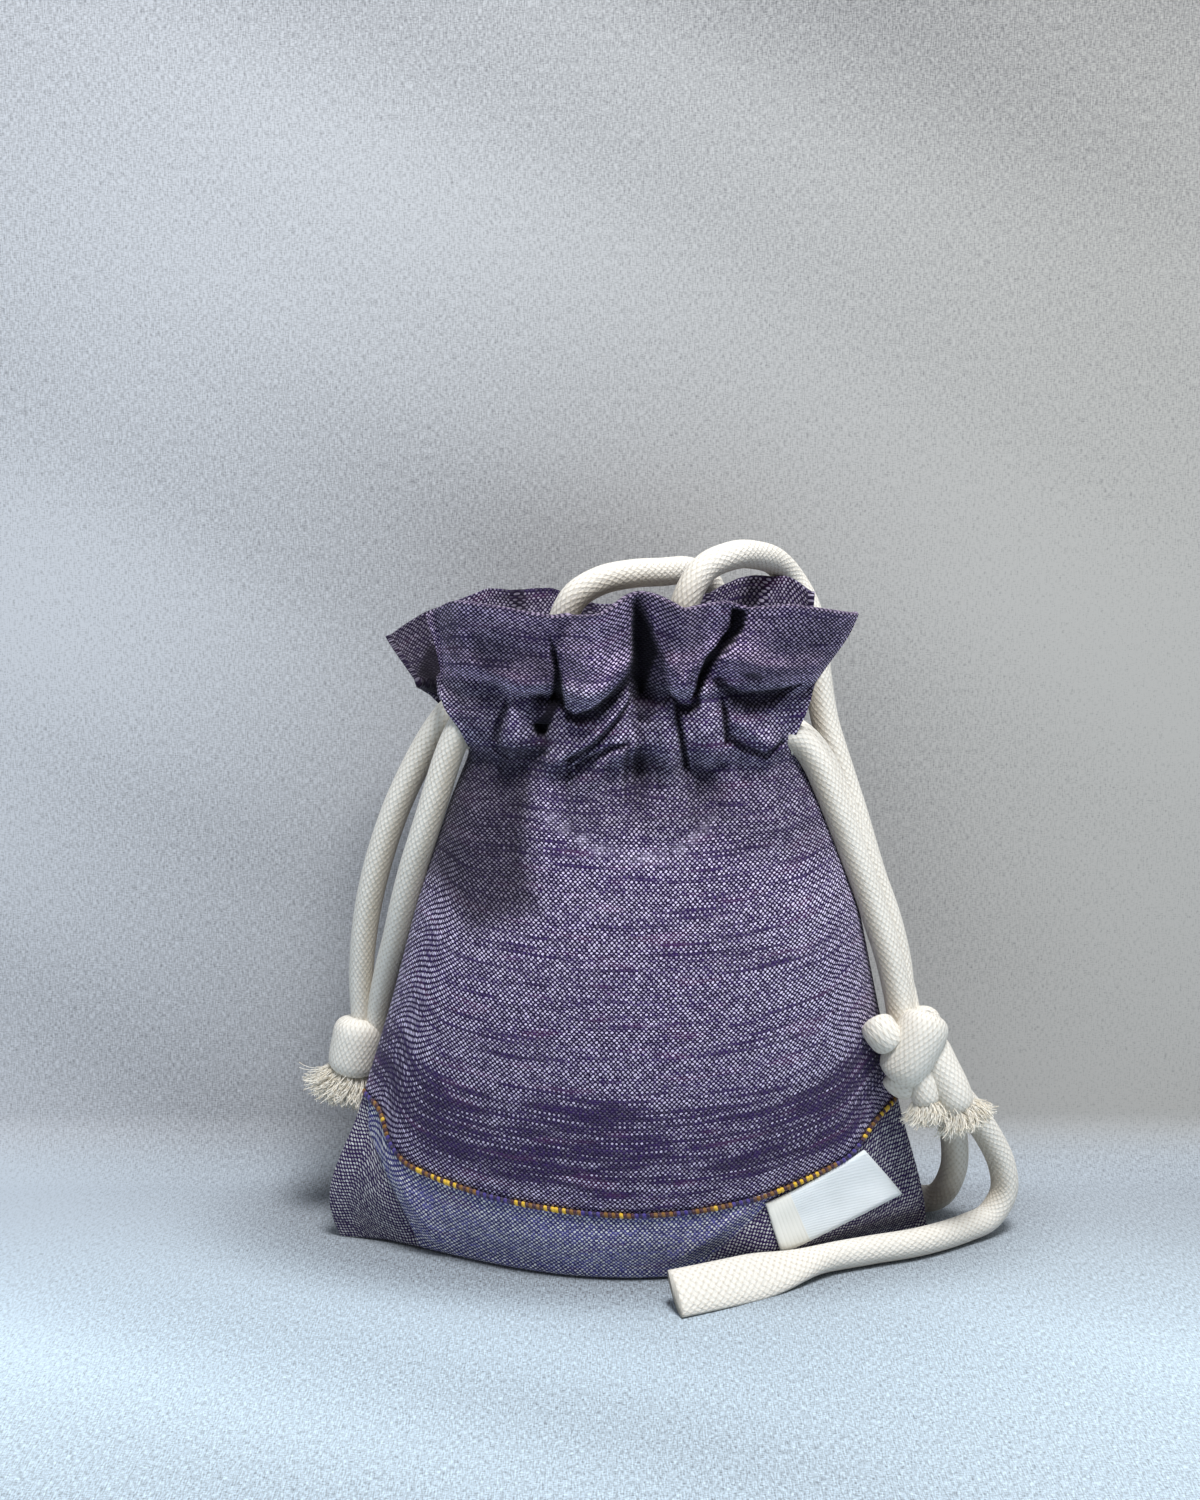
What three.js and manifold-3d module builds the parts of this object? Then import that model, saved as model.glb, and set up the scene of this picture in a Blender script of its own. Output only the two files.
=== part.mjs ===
import * as THREE from 'three';
import { mergeVertices } from 'three/addons/utils/BufferGeometryUtils.js';
import Module from 'manifold-3d';

// Small drawstring pouch of slub cotton, lined, standing on its base with the neck drawn in.
// Two drawcords run round the gathered casing and leave it at opposite sides, each knotted at
// its ends, and a carry cord is tied into the right-hand knot.
// Millimetres, +Z up, +X to the right as the front is seen, -Y to the front.

// Pouch
const BASE_HALF_WIDTH = 78;
const SHOULDER_HALF_WIDTH = 46;
const NECK_HALF_WIDTH = 38.5;
const BASE_HALF_DEPTH = 26;
const NECK_HALF_DEPTH = 14.5;
const BELLY_SWELL = 11;
const NECK_Z = 124;
const NECK_LENS = 0.42;
const BASE_LENS = 1.6;
const GATHER_FOLDS = 5;
const GATHER_DEPTH = 2.4;
const CLOTH = 1.4;
const LINING_CLOTH = 0.8;
const LINING_EAR_GAP = 10;
const CLEARANCE = 0.3;
const FACET_ROOM = 0.5;
const FOOT_RADIUS = 3;
const BACK_SEAM_Z = 8;

// Trim line across the front, lower in the middle than at the side seams
const TRIM_MID_Z = 20;
const TRIM_SIDE_Z = 33;
const TRIM_HEIGHT = 1.9;
const TRIM_THICK = 0.9;

// Label on the lower right of the front
const LABEL_LENGTH = 28.5;
const LABEL_WIDTH = 11.5;
const LABEL_THICK = 0.8;
const LABEL_INSET = 26;
const LABEL_X = BASE_HALF_WIDTH - LABEL_INSET;
const LABEL_Z = 13.2;
const LABEL_TILT = THREE.MathUtils.degToRad(22);

// Casing round the neck, and the frill above it
const CORD_DIAMETER = 7;
const CHANNEL_PLAY = 0.6;
const CASING_WALL = 1;
const CASING_HALF_LENGTH = 38;
const CASING_HALF_DEPTH = 12.6;
const CASING_BEND = 0.3;
const CASING_OPEN_ANGLE = THREE.MathUtils.degToRad(64);
const EXIT_RUN = 5;
const EXIT_REACH = 7;
const EXIT_DROP = 1.6;
const CASING_PLEATS = 11;
const CASING_PLEAT_DEPTH = 1.3;
const FRILL_HALF_LENGTH = 39;
const FRILL_CLOTH = 2;
const FRILL_FLARE = 9.5;
const FRILL_WAVES = 4;
const FRILL_WAVE_DEPTH = 4.2;
const FRONT_RIM = { left: -54, right: 56, rise: 22, dip: 0 };
const BACK_RIM = { left: -58, right: 41, rise: 24, dip: 8 };

// Knots and frayed ends
const LEFT_KNOT = { at: [-69.6, 11.4, 51.5], radius: 6.4, height: 16 };
const RIGHT_KNOT = { at: [73, -8, 54], radius: 8, height: 19 };
const KNOT_BALL_RADIUS = 4.6;
const TUFT_NECK_RADIUS = 2.8;
const TUFT_END_RADIUS = 4.6;
const LEFT_TUFT_LENGTH = 10;
const RIGHT_TUFT_LENGTH = 17;

// Facets
const ROUND_STEPS = 28;
const HEIGHT_STEPS = 10;
const LINING_STEPS = 22;
const CASING_RING_STEPS = 14;
const CORD_SIDES = 8;
const CORD_STEP = 2.8 * CORD_DIAMETER;

const { lerp, smoothstep } = THREE.MathUtils;
const FRONT = -1;
const BACK = 1;
const QUARTER = Math.PI / 2;

const slubCotton = new THREE.MeshStandardMaterial({ color: 0x5d5078, roughness: 0.9, metalness: 0 });
const liningCotton = new THREE.MeshStandardMaterial({ color: 0xb9b1c6, roughness: 0.9, metalness: 0 });
const trimYarn = new THREE.MeshStandardMaterial({ color: 0x9a7432, roughness: 0.85, metalness: 0 });
const labelTape = new THREE.MeshStandardMaterial({ color: 0xe6dfcf, roughness: 0.85, metalness: 0 });
const cordCotton = new THREE.MeshStandardMaterial({ color: 0xece5d6, roughness: 0.9, metalness: 0 });

const wasm = await Module();
wasm.setup();

// A closed body from points and triangles, turned so that its faces point outwards
function closedBody(points, triangles) {
  let volume = 0;
  const cross = new THREE.Vector3();
  for (const [a, b, c] of triangles) {
    volume += cross.crossVectors(points[b], points[c]).dot(points[a]);
  }
  const index = triangles.flatMap(([a, b, c]) => (volume > 0 ? [a, b, c] : [a, c, b]));
  const geometry = new THREE.BufferGeometry().setFromPoints(points);
  geometry.setIndex(index);
  geometry.computeVertexNormals();
  return geometry;
}

// A piece of cloth between an outer and an inner sheet, each a function of u and v in 0..1.
// A closed one goes round in v, as a tube does.
function clothBody(uSteps, vSteps, outer, inner, closed = false) {
  const points = [];
  const triangles = [];
  const columns = closed ? vSteps : vSteps + 1;
  const id = (sheet, i, j) => (sheet * (uSteps + 1) + i) * columns + (j % columns);
  const quad = (a, b, c, d) => triangles.push([a, b, c], [a, c, d]);
  for (const sheet of [outer, inner]) {
    for (let i = 0; i <= uSteps; i++) {
      for (let j = 0; j < columns; j++) points.push(sheet(i / uSteps, j / vSteps));
    }
  }
  for (let i = 0; i < uSteps; i++) {
    for (let j = 0; j < vSteps; j++) {
      quad(id(0, i, j), id(0, i + 1, j), id(0, i + 1, j + 1), id(0, i, j + 1));
      quad(id(1, i, j), id(1, i, j + 1), id(1, i + 1, j + 1), id(1, i + 1, j));
    }
    if (!closed) {
      quad(id(0, i, 0), id(1, i, 0), id(1, i + 1, 0), id(0, i + 1, 0));
      quad(id(0, i, vSteps), id(0, i + 1, vSteps), id(1, i + 1, vSteps), id(1, i, vSteps));
    }
  }
  for (let j = 0; j < vSteps; j++) {
    quad(id(0, 0, j), id(0, 0, j + 1), id(1, 0, j + 1), id(1, 0, j));
    quad(id(0, uSteps, j), id(1, uSteps, j), id(1, uSteps, j + 1), id(0, uSteps, j + 1));
  }
  return closedBody(points, triangles);
}

// The pouch narrows from base to neck, swells at the belly, and its section changes from a
// sharp lens at the base, with flat ears, to a full round at the neck.
function section(z) {
  const t = THREE.MathUtils.clamp(z / NECK_Z, 0, 1);
  const neckPull = (NECK_HALF_WIDTH - SHOULDER_HALF_WIDTH) * t ** 6;
  return {
    t,
    width: lerp(BASE_HALF_WIDTH, SHOULDER_HALF_WIDTH, t) + neckPull,
    depth: lerp(BASE_HALF_DEPTH, NECK_HALF_DEPTH, t) + BELLY_SWELL * Math.sin(Math.PI * t),
    lens: NECK_LENS + (BASE_LENS - NECK_LENS) * (1 - t) ** 3,
  };
}

// A point of the pouch's wall on one side: turn runs from -90 to 90 degrees between the side
// seams, and out is the distance outside the wall's inner face.
function wall(side, z, turn, out) {
  const { t, width, depth, lens } = section(z);
  const round = Math.max(Math.cos(turn), 0);
  const sideways = smoothstep(t, 0.05, 0.45) * Math.sin(turn) ** 5;
  const fold = GATHER_DEPTH * smoothstep(t, 0.72, 1) * round * Math.cos(2 * GATHER_FOLDS * turn);
  const y = CLEARANCE / 2 + depth * round ** (2 * lens) + fold + out * Math.sqrt(1 - sideways ** 2);
  return new THREE.Vector3(width * Math.sin(turn) + out * sideways, side * y, z);
}

function trimLine(turn) {
  return lerp(TRIM_MID_Z, TRIM_SIDE_Z, Math.sin(turn) ** 2);
}

function sweep(u, limit = QUARTER) {
  return lerp(-limit, limit, u);
}

function frontPanel() {
  const at = (out) => (u, v) => {
    const turn = sweep(u);
    return wall(FRONT, lerp(trimLine(turn) + CLEARANCE / 2, NECK_Z, v), turn, out);
  };
  return clothBody(ROUND_STEPS, HEIGHT_STEPS, at(CLOTH), at(0));
}

function backPanel() {
  const at = (out) => (u, v) => wall(BACK, lerp(BACK_SEAM_Z + CLEARANCE, NECK_Z, v), sweep(u), out);
  return clothBody(ROUND_STEPS, HEIGHT_STEPS + 1, at(CLOTH), at(0));
}

// The base goes from the trim line down the front, flat under the pouch and a little way up
// the back, in one piece.
function basePanel() {
  const profile = (turn, out) => {
    const floor = CLOTH - out;
    const foot = wall(BACK, 0, turn, out);
    const radius = Math.min(FOOT_RADIUS, 0.6 * foot.y);
    const half = (side, top) => {
      const points = [1, 0.66].map((share) => wall(side, lerp(FOOT_RADIUS + CLOTH, top, share), turn, out));
      for (const angle of [0, Math.PI / 4, QUARTER]) {
        const y = foot.y - radius + radius * Math.cos(angle);
        const z = floor + radius - radius * Math.sin(angle);
        points.push(new THREE.Vector3(foot.x, side * y, z));
      }
      return points;
    };
    const front = half(FRONT, trimLine(turn) - CLEARANCE / 2);
    const middle = new THREE.Vector3(foot.x, 0, floor);
    return [...front, middle, ...half(BACK, BACK_SEAM_Z).reverse()];
  };
  const steps = profile(0, 0).length - 1;
  const at = (out) => (u, v) => profile(sweep(u), out)[Math.round(v * steps)];
  return clothBody(ROUND_STEPS, steps, at(CLOTH), at(0));
}

// The lining hangs inside as a bag of its own, open at the neck.
function lining() {
  const points = [];
  const triangles = [];
  const rings = HEIGHT_STEPS - 2;
  const around = 2 * LINING_STEPS;
  const bottom = CLOTH + CLEARANCE;
  const ring = (z, inset) => {
    const { t, width, depth, lens } = section(z);
    const start = points.length;
    const ear = width - lerp(LINING_EAR_GAP, GATHER_DEPTH, t) - 2 * inset;
    const half = depth - inset - GATHER_DEPTH * smoothstep(t, 0.6, 0.9);
    for (let k = 0; k < around; k++) {
      const turn = (2 * Math.PI * k) / around;
      const round = Math.abs(Math.cos(turn)) ** (2 * lens) * Math.sign(Math.cos(turn));
      points.push(new THREE.Vector3(ear * Math.sin(turn), -half * round, z));
    }
    return start;
  };
  const levels = (inset, floor) => {
    const starts = [ring(floor, inset + FOOT_RADIUS)];
    for (let i = 0; i < rings; i++) {
      starts.push(ring(lerp(bottom + FOOT_RADIUS + inset, NECK_Z, i / (rings - 1)), inset));
    }
    return starts;
  };
  const skin = (starts, outward) => {
    for (let i = 0; i < starts.length - 1; i++) {
      for (let k = 0; k < around; k++) {
        const n = (k + 1) % around;
        const [a, b, c, d] = [starts[i] + k, starts[i] + n, starts[i + 1] + n, starts[i + 1] + k];
        triangles.push(...(outward ? [[a, b, c], [a, c, d]] : [[a, c, b], [a, d, c]]));
      }
    }
    const floorHeight = points[starts[0]].z;
    const hub = points.push(new THREE.Vector3(0, 0, floorHeight)) - 1;
    for (let k = 0; k < around; k++) {
      const edge = [starts[0] + k, starts[0] + ((k + 1) % around)];
      triangles.push(outward ? [hub, edge[1], edge[0]] : [hub, edge[0], edge[1]]);
    }
  };
  const seat = CLEARANCE + FACET_ROOM;
  const outer = levels(seat, bottom);
  const inner = levels(seat + LINING_CLOTH, bottom + LINING_CLOTH);
  skin(outer, true);
  skin(inner, false);
  for (let k = 0; k < around; k++) {
    const n = (k + 1) % around;
    const [top, hem] = [outer[rings], inner[rings]];
    triangles.push([top + k, top + n, hem + n], [top + k, hem + n, hem + k]);
  }
  return closedBody(points, triangles);
}

function trim() {
  const at = (out) => (u, v) => {
    const turn = sweep(u, 0.96 * QUARTER);
    return wall(FRONT, trimLine(turn) + lerp(-TRIM_HEIGHT, TRIM_HEIGHT, v) / 2, turn, out);
  };
  const seat = CLOTH + CLEARANCE;
  return clothBody(ROUND_STEPS, 1, at(seat + TRIM_THICK), at(seat));
}

function label() {
  const at = (out) => (u, v) => {
    const along = (u - 0.5) * LABEL_LENGTH;
    const across = (v - 0.5) * LABEL_WIDTH;
    const x = LABEL_X + along * Math.cos(LABEL_TILT) - across * Math.sin(LABEL_TILT);
    const z = LABEL_Z + along * Math.sin(LABEL_TILT) + across * Math.cos(LABEL_TILT);
    return wall(FRONT, z, Math.asin(x / section(z).width), out);
  };
  const seat = CLOTH + CLEARANCE + FACET_ROOM;
  return clothBody(8, 3, at(seat + LABEL_THICK), at(seat));
}

// The casing's middle line, which the drawcords follow: a long round loop about the neck
const CHANNEL_HALF_DEPTH = CORD_DIAMETER / 2 + CHANNEL_PLAY;
const CHANNEL_HALF_HEIGHT = CORD_DIAMETER + 1.5 * CHANNEL_PLAY;
const CASING_HALF_HEIGHT = CHANNEL_HALF_HEIGHT + CASING_WALL;
const CASING_Z = NECK_Z + CLEARANCE + CASING_HALF_HEIGHT;
const FRILL_Z = CASING_Z + CASING_HALF_HEIGHT + CLEARANCE;

function casingLine(turn) {
  const bow = Math.abs(Math.cos(turn)) ** (2 * CASING_BEND) * Math.sign(Math.cos(turn));
  return new THREE.Vector3(CASING_HALF_LENGTH * Math.sin(turn), -CASING_HALF_DEPTH * bow, CASING_Z);
}

// Half of the casing: a gathered sleeve with open ends at the side seams
function casing(side) {
  const sheet = (halfDepth, halfHeight, pleatDepth) => (u, v) => {
    const turn = sweep(u, CASING_OPEN_ANGLE);
    const along = casingLine(turn + 0.01).sub(casingLine(turn - 0.01)).normalize();
    const angle = 2 * Math.PI * v;
    const square = (value) => Math.sign(value) * Math.abs(value) ** 0.5;
    const outward = square(Math.cos(angle));
    const pleat = pleatDepth * (1 + Math.cos(2 * Math.PI * CASING_PLEATS * u)) / 2;
    const reach = outward * (halfDepth + (outward > 0 ? pleat : 0));
    const centre = casingLine(turn);
    const x = centre.x + reach * along.y;
    const y = centre.y - reach * along.x;
    return new THREE.Vector3(x, -side * y, CASING_Z + halfHeight * square(Math.sin(angle)));
  };
  const outer = sheet(CHANNEL_HALF_DEPTH + CASING_WALL, CASING_HALF_HEIGHT, CASING_PLEAT_DEPTH);
  const channel = sheet(CHANNEL_HALF_DEPTH, CHANNEL_HALF_HEIGHT, 0);
  return clothBody(2 * CASING_PLEATS, CASING_RING_STEPS, outer, channel, true);
}

// Half of the frill: a flap that leaves the casing and flares into waves, free at both ends
function frill(side, rim) {
  const sheet = (out) => (u, v) => {
    const across = 2 * u - 1;
    const foot = CASING_HALF_DEPTH * (1 - across ** 2) ** 0.4;
    const lean = FRILL_FLARE * v ** 0.8 * (1 - 0.3 * across ** 2);
    const wave = FRILL_WAVE_DEPTH * smoothstep(v, 0, 0.8) * Math.cos(2 * Math.PI * FRILL_WAVES * u);
    const y = Math.max(foot, FRILL_CLOTH) + lean + wave * (1 - 0.4 * Math.abs(across)) + out;
    const x = lerp(FRILL_HALF_LENGTH * across, lerp(rim.left, rim.right, u), v ** 0.7);
    const dip = rim.dip * (1 - across ** 2) ** 3;
    const z = FRILL_Z + v * (rim.rise - dip - 0.5 * wave);
    return new THREE.Vector3(x, side * y, z);
  };
  return clothBody(10 * FRILL_WAVES, 5, sheet(FRILL_CLOTH / 2), sheet(-FRILL_CLOTH / 2));
}

// A round cord through points chosen along its route
function cord(points, steps) {
  const path = new THREE.CatmullRomCurve3(points.map((p) => new THREE.Vector3(...p)));
  const ring = [];
  for (let k = 0; k < CORD_SIDES; k++) {
    const angle = (2 * Math.PI * k) / CORD_SIDES;
    ring.push(new THREE.Vector2(Math.cos(angle), Math.sin(angle)).multiplyScalar(CORD_DIAMETER / 2));
  }
  const count = steps ?? Math.max(3, Math.round(path.getLength() / CORD_STEP));
  return new THREE.ExtrudeGeometry(new THREE.Shape(ring), { steps: count, extrudePath: path });
}

// A drawcord's held run: in at one side seam, right round the casing and out beside itself
function heldRun(side, level) {
  const lift = level * (CORD_DIAMETER + CHANNEL_PLAY) / 2;
  const points = [];
  const count = 36;
  for (let k = 0; k <= count; k++) {
    const place = casingLine(lerp(-CASING_OPEN_ANGLE, Math.PI + CASING_OPEN_ANGLE, k / count));
    points.push([side * -place.x, place.y, place.z + lift]);
  }
  const exit = (mouth, inside) => {
    const way = new THREE.Vector3(...mouth).sub(new THREE.Vector3(...inside)).setLength(EXIT_RUN);
    const out = [mouth[0] + way.x, mouth[1] + way.y, mouth[2]];
    return [out, [out[0] + Math.sign(out[0]) * EXIT_REACH, out[1], out[2] - EXIT_DROP]];
  };
  const first = exit(points[0], points[1]).reverse();
  const last = exit(points[count], points[count - 1]);
  return cord([...first, ...points, ...last], count + 8);
}

function toSolid(geometry) {
  const bare = geometry.clone();
  bare.deleteAttribute('normal');
  bare.deleteAttribute('uv');
  const merged = mergeVertices(bare, 1e-4);
  return new wasm.Manifold(new wasm.Mesh({
    numProp: 3,
    vertProperties: new Float32Array(merged.attributes.position.array),
    triVerts: new Uint32Array(merged.index.array),
  }));
}

function fused(geometries) {
  const mesh = geometries.map(toSolid).reduce((whole, next) => whole.add(next)).getMesh();
  const geometry = new THREE.BufferGeometry();
  geometry.setAttribute('position', new THREE.BufferAttribute(new Float32Array(mesh.vertProperties), 3));
  geometry.setIndex(new THREE.BufferAttribute(new Uint32Array(mesh.triVerts), 1));
  geometry.computeVertexNormals();
  return geometry;
}

// A pulled-tight overhand knot: a barrel with one slanting turn of cord round it
function knotBody(radius, height) {
  const outline = [];
  const steps = 10;
  for (let k = 0; k <= steps; k++) {
    const angle = lerp(-QUARTER, QUARTER, k / steps);
    const r = k === 0 || k === steps ? 0 : radius * Math.cos(angle) ** 0.45;
    outline.push(new THREE.Vector2(r, (height / 2) * Math.sin(angle)));
  }
  const barrel = new THREE.LatheGeometry(outline, 16).rotateX(QUARTER);
  const turnOfCord = new THREE.TorusGeometry(radius - 0.32 * CORD_DIAMETER, CORD_DIAMETER / 2, 8, 16);
  turnOfCord.rotateY(THREE.MathUtils.degToRad(24));
  return [barrel, turnOfCord];
}

// A frayed end, widening away from the knot, hung by its neck at the origin
function tuftBody(length) {
  const outline = [
    [0, 0],
    [TUFT_NECK_RADIUS, 0],
    [lerp(TUFT_NECK_RADIUS, TUFT_END_RADIUS, 0.7), -0.45 * length],
    [TUFT_END_RADIUS, -0.92 * length],
    [0.7 * TUFT_END_RADIUS, -length],
    [0, -0.96 * length],
  ].reverse().map((p) => new THREE.Vector2(...p));
  return new THREE.LatheGeometry(outline, 14).rotateX(QUARTER);
}

function leftKnot() {
  return fused(knotBody(LEFT_KNOT.radius, LEFT_KNOT.height)).translate(...LEFT_KNOT.at);
}

// The right-hand knot holds four strands: a ball of cord stands out in front, a lobe below.
function rightKnot() {
  const { radius, height, at } = RIGHT_KNOT;
  const ball = new THREE.SphereGeometry(KNOT_BALL_RADIUS, 14, 10).translate(-0.66 * radius, -0.5 * radius, 0.22 * height);
  const lobe = new THREE.SphereGeometry(KNOT_BALL_RADIUS, 14, 10).translate(-0.3 * radius, -0.45 * radius, -0.36 * height);
  return fused([...knotBody(radius, height), ball, lobe]).translate(...at);
}

function leftTuft() {
  const [x, y, z] = LEFT_KNOT.at;
  const tuft = tuftBody(LEFT_TUFT_LENGTH).rotateY(THREE.MathUtils.degToRad(18));
  return tuft.translate(x - 1, y, z - LEFT_KNOT.height / 2 - 3 * CLEARANCE);
}

function rightTuft() {
  const [x, y, z] = RIGHT_KNOT.at;
  const spread = THREE.MathUtils.degToRad(-14);
  const tails = [-52, -34].map((degrees) => {
    const tail = tuftBody(RIGHT_TUFT_LENGTH).rotateX(spread);
    return tail.rotateY(THREE.MathUtils.degToRad(degrees));
  });
  return fused(tails).translate(x + 3.2, y - 1.4, z - RIGHT_KNOT.height / 2 - 2.6);
}

// Free cord, as it hangs and lies
const LEFT_OUTER_END = [
  [-46.9, 5.3, 127.2], [-50, 5.4, 125.8], [-54, 6, 119], [-58.6, 7.6, 107], [-63.6, 9.4, 94],
  [-68.4, 10.8, 80], [-72.2, 11.4, 68], [-73.6, 11.6, 60.8],
];
const LEFT_INNER_END = [
  [-46.9, -5.3, 127.2], [-49.6, -5.3, 125.8], [-52.6, -5, 119], [-55.4, -2.6, 108], [-58.4, 0.6, 96.5],
  [-61.2, 4.8, 83], [-64.4, 9, 69.5], [-65.8, 10.8, 60.8],
];
const RIGHT_FRONT_END = [
  [46.7, -5.3, 134.8], [49.8, -5.3, 133.4], [52.4, -5.2, 126], [55, -4.8, 114.5], [58.8, -4.2, 102],
  [63, -4, 88], [67, -5.2, 74.5], [68.6, -6.4, 64.4],
];
const RIGHT_BACK_END = [
  [46.7, 5.3, 134.8], [49.8, 5.3, 133.4], [52.4, 5.3, 126], [55, 5.3, 114.5], [58.8, 5.2, 102],
  [63.4, 4.8, 88], [68.4, 3, 74.5], [70.6, 1, 64.4],
];
const CARRY_LOOP = [
  [77, -6, 64.4], [77, -4, 74], [74, -0.4, 88], [69, 4, 102], [62.5, 9.5, 118], [56.5, 14.5, 136], [52, 17.5, 150],
  [48.5, 18, 161], [43, 14.5, 171], [35, 7.5, 175.8], [26, -1, 176], [18.5, -6.5, 171], [14, -7.6, 161],
  [11.5, -3.5, 148], [10.5, 0, 134], [9.5, 1, 119], [5, 2, 106], [-4, 2, 102], [-13, 1, 107], [-17, 0, 121],
  [-17.4, 0, 135], [-17.8, -3.5, 148], [-17.6, -7, 159], [-11.5, -5.5, 168], [-1, 1, 171.5], [10, 10, 171.5],
  [18, 19, 170.6], [23.5, 27, 162], [26, 31, 145], [28, 31.5, 125], [31, 32, 104], [35, 32.5, 82], [40, 32, 58],
  [47, 29.5, 35], [55.5, 26, 16], [64, 22, 6], [73, 17.5, 3.8], [81, 13, 5.2], [85, 9, 14], [84.6, 5, 26],
  [82, 1.4, 37], [79, -2, 44],
];
const CARRY_TAIL = [
  [82.6, -8, 49], [89, -7, 41], [94, -3.6, 31], [97.4, 1, 20], [97.6, 2.4, 11], [93, 0.6, 5.2], [86, -3.6, 3.7],
  [73, -12, 3.7], [60, -17, 3.7], [47, -22.4, 3.7], [34, -31, 3.7], [21.5, -38.5, 3.7], [11, -44, 3.7],
];

const pouch = new THREE.Group();

function add(name, geometry, material) {
  const mesh = new THREE.Mesh(geometry, material);
  mesh.name = name;
  pouch.add(mesh);
}

add('front_panel', frontPanel(), slubCotton);
add('back_panel', backPanel(), slubCotton);
add('base_panel', basePanel(), slubCotton);
add('lining', lining(), liningCotton);
add('front_casing', casing(FRONT), slubCotton);
add('back_casing', casing(BACK), slubCotton);
add('front_frill', frill(FRONT, FRONT_RIM), slubCotton);
add('back_frill', frill(BACK, BACK_RIM), slubCotton);
add('trim', trim(), trimYarn);
add('label', label(), labelTape);
add('left_drawcord', heldRun(-1, -1), cordCotton);
add('right_drawcord', heldRun(1, 1), cordCotton);
add('left_outer_end', cord(LEFT_OUTER_END), cordCotton);
add('left_inner_end', cord(LEFT_INNER_END), cordCotton);
add('left_knot', leftKnot(), cordCotton);
add('left_tuft', leftTuft(), cordCotton);
add('right_front_end', cord(RIGHT_FRONT_END), cordCotton);
add('right_back_end', cord(RIGHT_BACK_END), cordCotton);
add('right_knot', rightKnot(), cordCotton);
add('right_tuft', rightTuft(), cordCotton);
add('carry_loop', cord(CARRY_LOOP), cordCotton);
add('carry_tail', cord(CARRY_TAIL), cordCotton);

export default pouch;
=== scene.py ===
import math

import bpy
import numpy as np
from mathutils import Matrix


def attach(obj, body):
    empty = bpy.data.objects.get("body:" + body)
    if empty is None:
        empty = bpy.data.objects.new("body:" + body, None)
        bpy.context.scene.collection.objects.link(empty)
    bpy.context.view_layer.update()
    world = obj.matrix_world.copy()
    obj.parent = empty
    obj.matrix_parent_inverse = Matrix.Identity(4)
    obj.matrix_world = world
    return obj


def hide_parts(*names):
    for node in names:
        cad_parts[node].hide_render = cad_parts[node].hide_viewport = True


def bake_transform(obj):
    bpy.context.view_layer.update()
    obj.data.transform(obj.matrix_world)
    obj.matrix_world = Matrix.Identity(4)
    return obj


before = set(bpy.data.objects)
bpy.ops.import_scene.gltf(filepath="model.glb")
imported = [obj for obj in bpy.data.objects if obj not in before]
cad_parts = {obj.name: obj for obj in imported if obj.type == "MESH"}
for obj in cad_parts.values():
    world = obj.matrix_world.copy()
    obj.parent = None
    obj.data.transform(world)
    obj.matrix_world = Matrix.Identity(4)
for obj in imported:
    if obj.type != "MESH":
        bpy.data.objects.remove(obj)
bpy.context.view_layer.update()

MM = 0.001

# Camera
# A long lens a little above the pouch, looking slightly down on its front from about half a metre. Its place
# puts the pouch's outline where the photograph has it.
PHOTO_LONG_SIDE = 1500
FOCAL_PIXELS = 2006
SENSOR_LONG_SIDE = 36.0
CAMERA_PLACE = (-0.007, -0.485, 0.212)
CAMERA_PITCH = math.radians(10)

camera_data = bpy.data.cameras.new("camera")
camera_data.sensor_width = SENSOR_LONG_SIDE
camera_data.lens = SENSOR_LONG_SIDE * FOCAL_PIXELS / PHOTO_LONG_SIDE
camera_data.clip_start = 0.01
camera = bpy.data.objects.new("camera", camera_data)
camera.location = CAMERA_PLACE
camera.rotation_euler = (math.pi / 2 - CAMERA_PITCH, 0, 0)
bpy.context.scene.collection.objects.link(camera)
bpy.context.scene.camera = camera
bpy.context.scene.view_settings.view_transform = "Standard"


# Cotton cord
# Soft undyed cotton, plaited as a hollow round braid of 16 yarns, 7 mm across.
# Each drawcord's ends hang from the casing, and the carry cord is tied into the right-hand knot.
CORD_DIAMETER = 7.0
CARRIERS = 16
CELL_LENGTH = 2.0
CORD_PALE = (0.91, 0.885, 0.82)
# Painted shade: the brown of the gaps between the yarns, and the dim brown of the cord's side towards the
# pouch.
CORD_GAP_SHADE = (0.42, 0.34, 0.23)
CORD_BAG_SIDE_SHADE = (0.42, 0.35, 0.25)


class Value:
    """A number on its way through a material's nodes, with the usual signs of arithmetic."""

    def __init__(self, finish, socket):
        self.finish, self.socket = finish, socket

    def math(self, operation, *values):
        return self.finish.node("ShaderNodeMath", {"operation": operation}, values)

    def floor(self):
        return self.math("FLOOR", self)

    def fract(self):
        return self.math("FRACT", self)

    def most(self, other):
        return self.math("MAXIMUM", self, other)

    def step(self, low, high):
        values = {"Value": self, "From Min": low, "From Max": high}
        return self.finish.node("ShaderNodeMapRange", {"interpolation_type": "SMOOTHSTEP"}, values)


SIGNS = {"add": "ADD", "sub": "SUBTRACT", "mul": "MULTIPLY", "truediv": "DIVIDE", "pow": "POWER"}
for sign, operation in SIGNS.items():
    setattr(Value, f"__{sign}__", lambda self, other, kind=operation: self.math(kind, self, other))
    setattr(Value, f"__r{sign}__", lambda self, other, kind=operation: self.math(kind, other, self))


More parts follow.
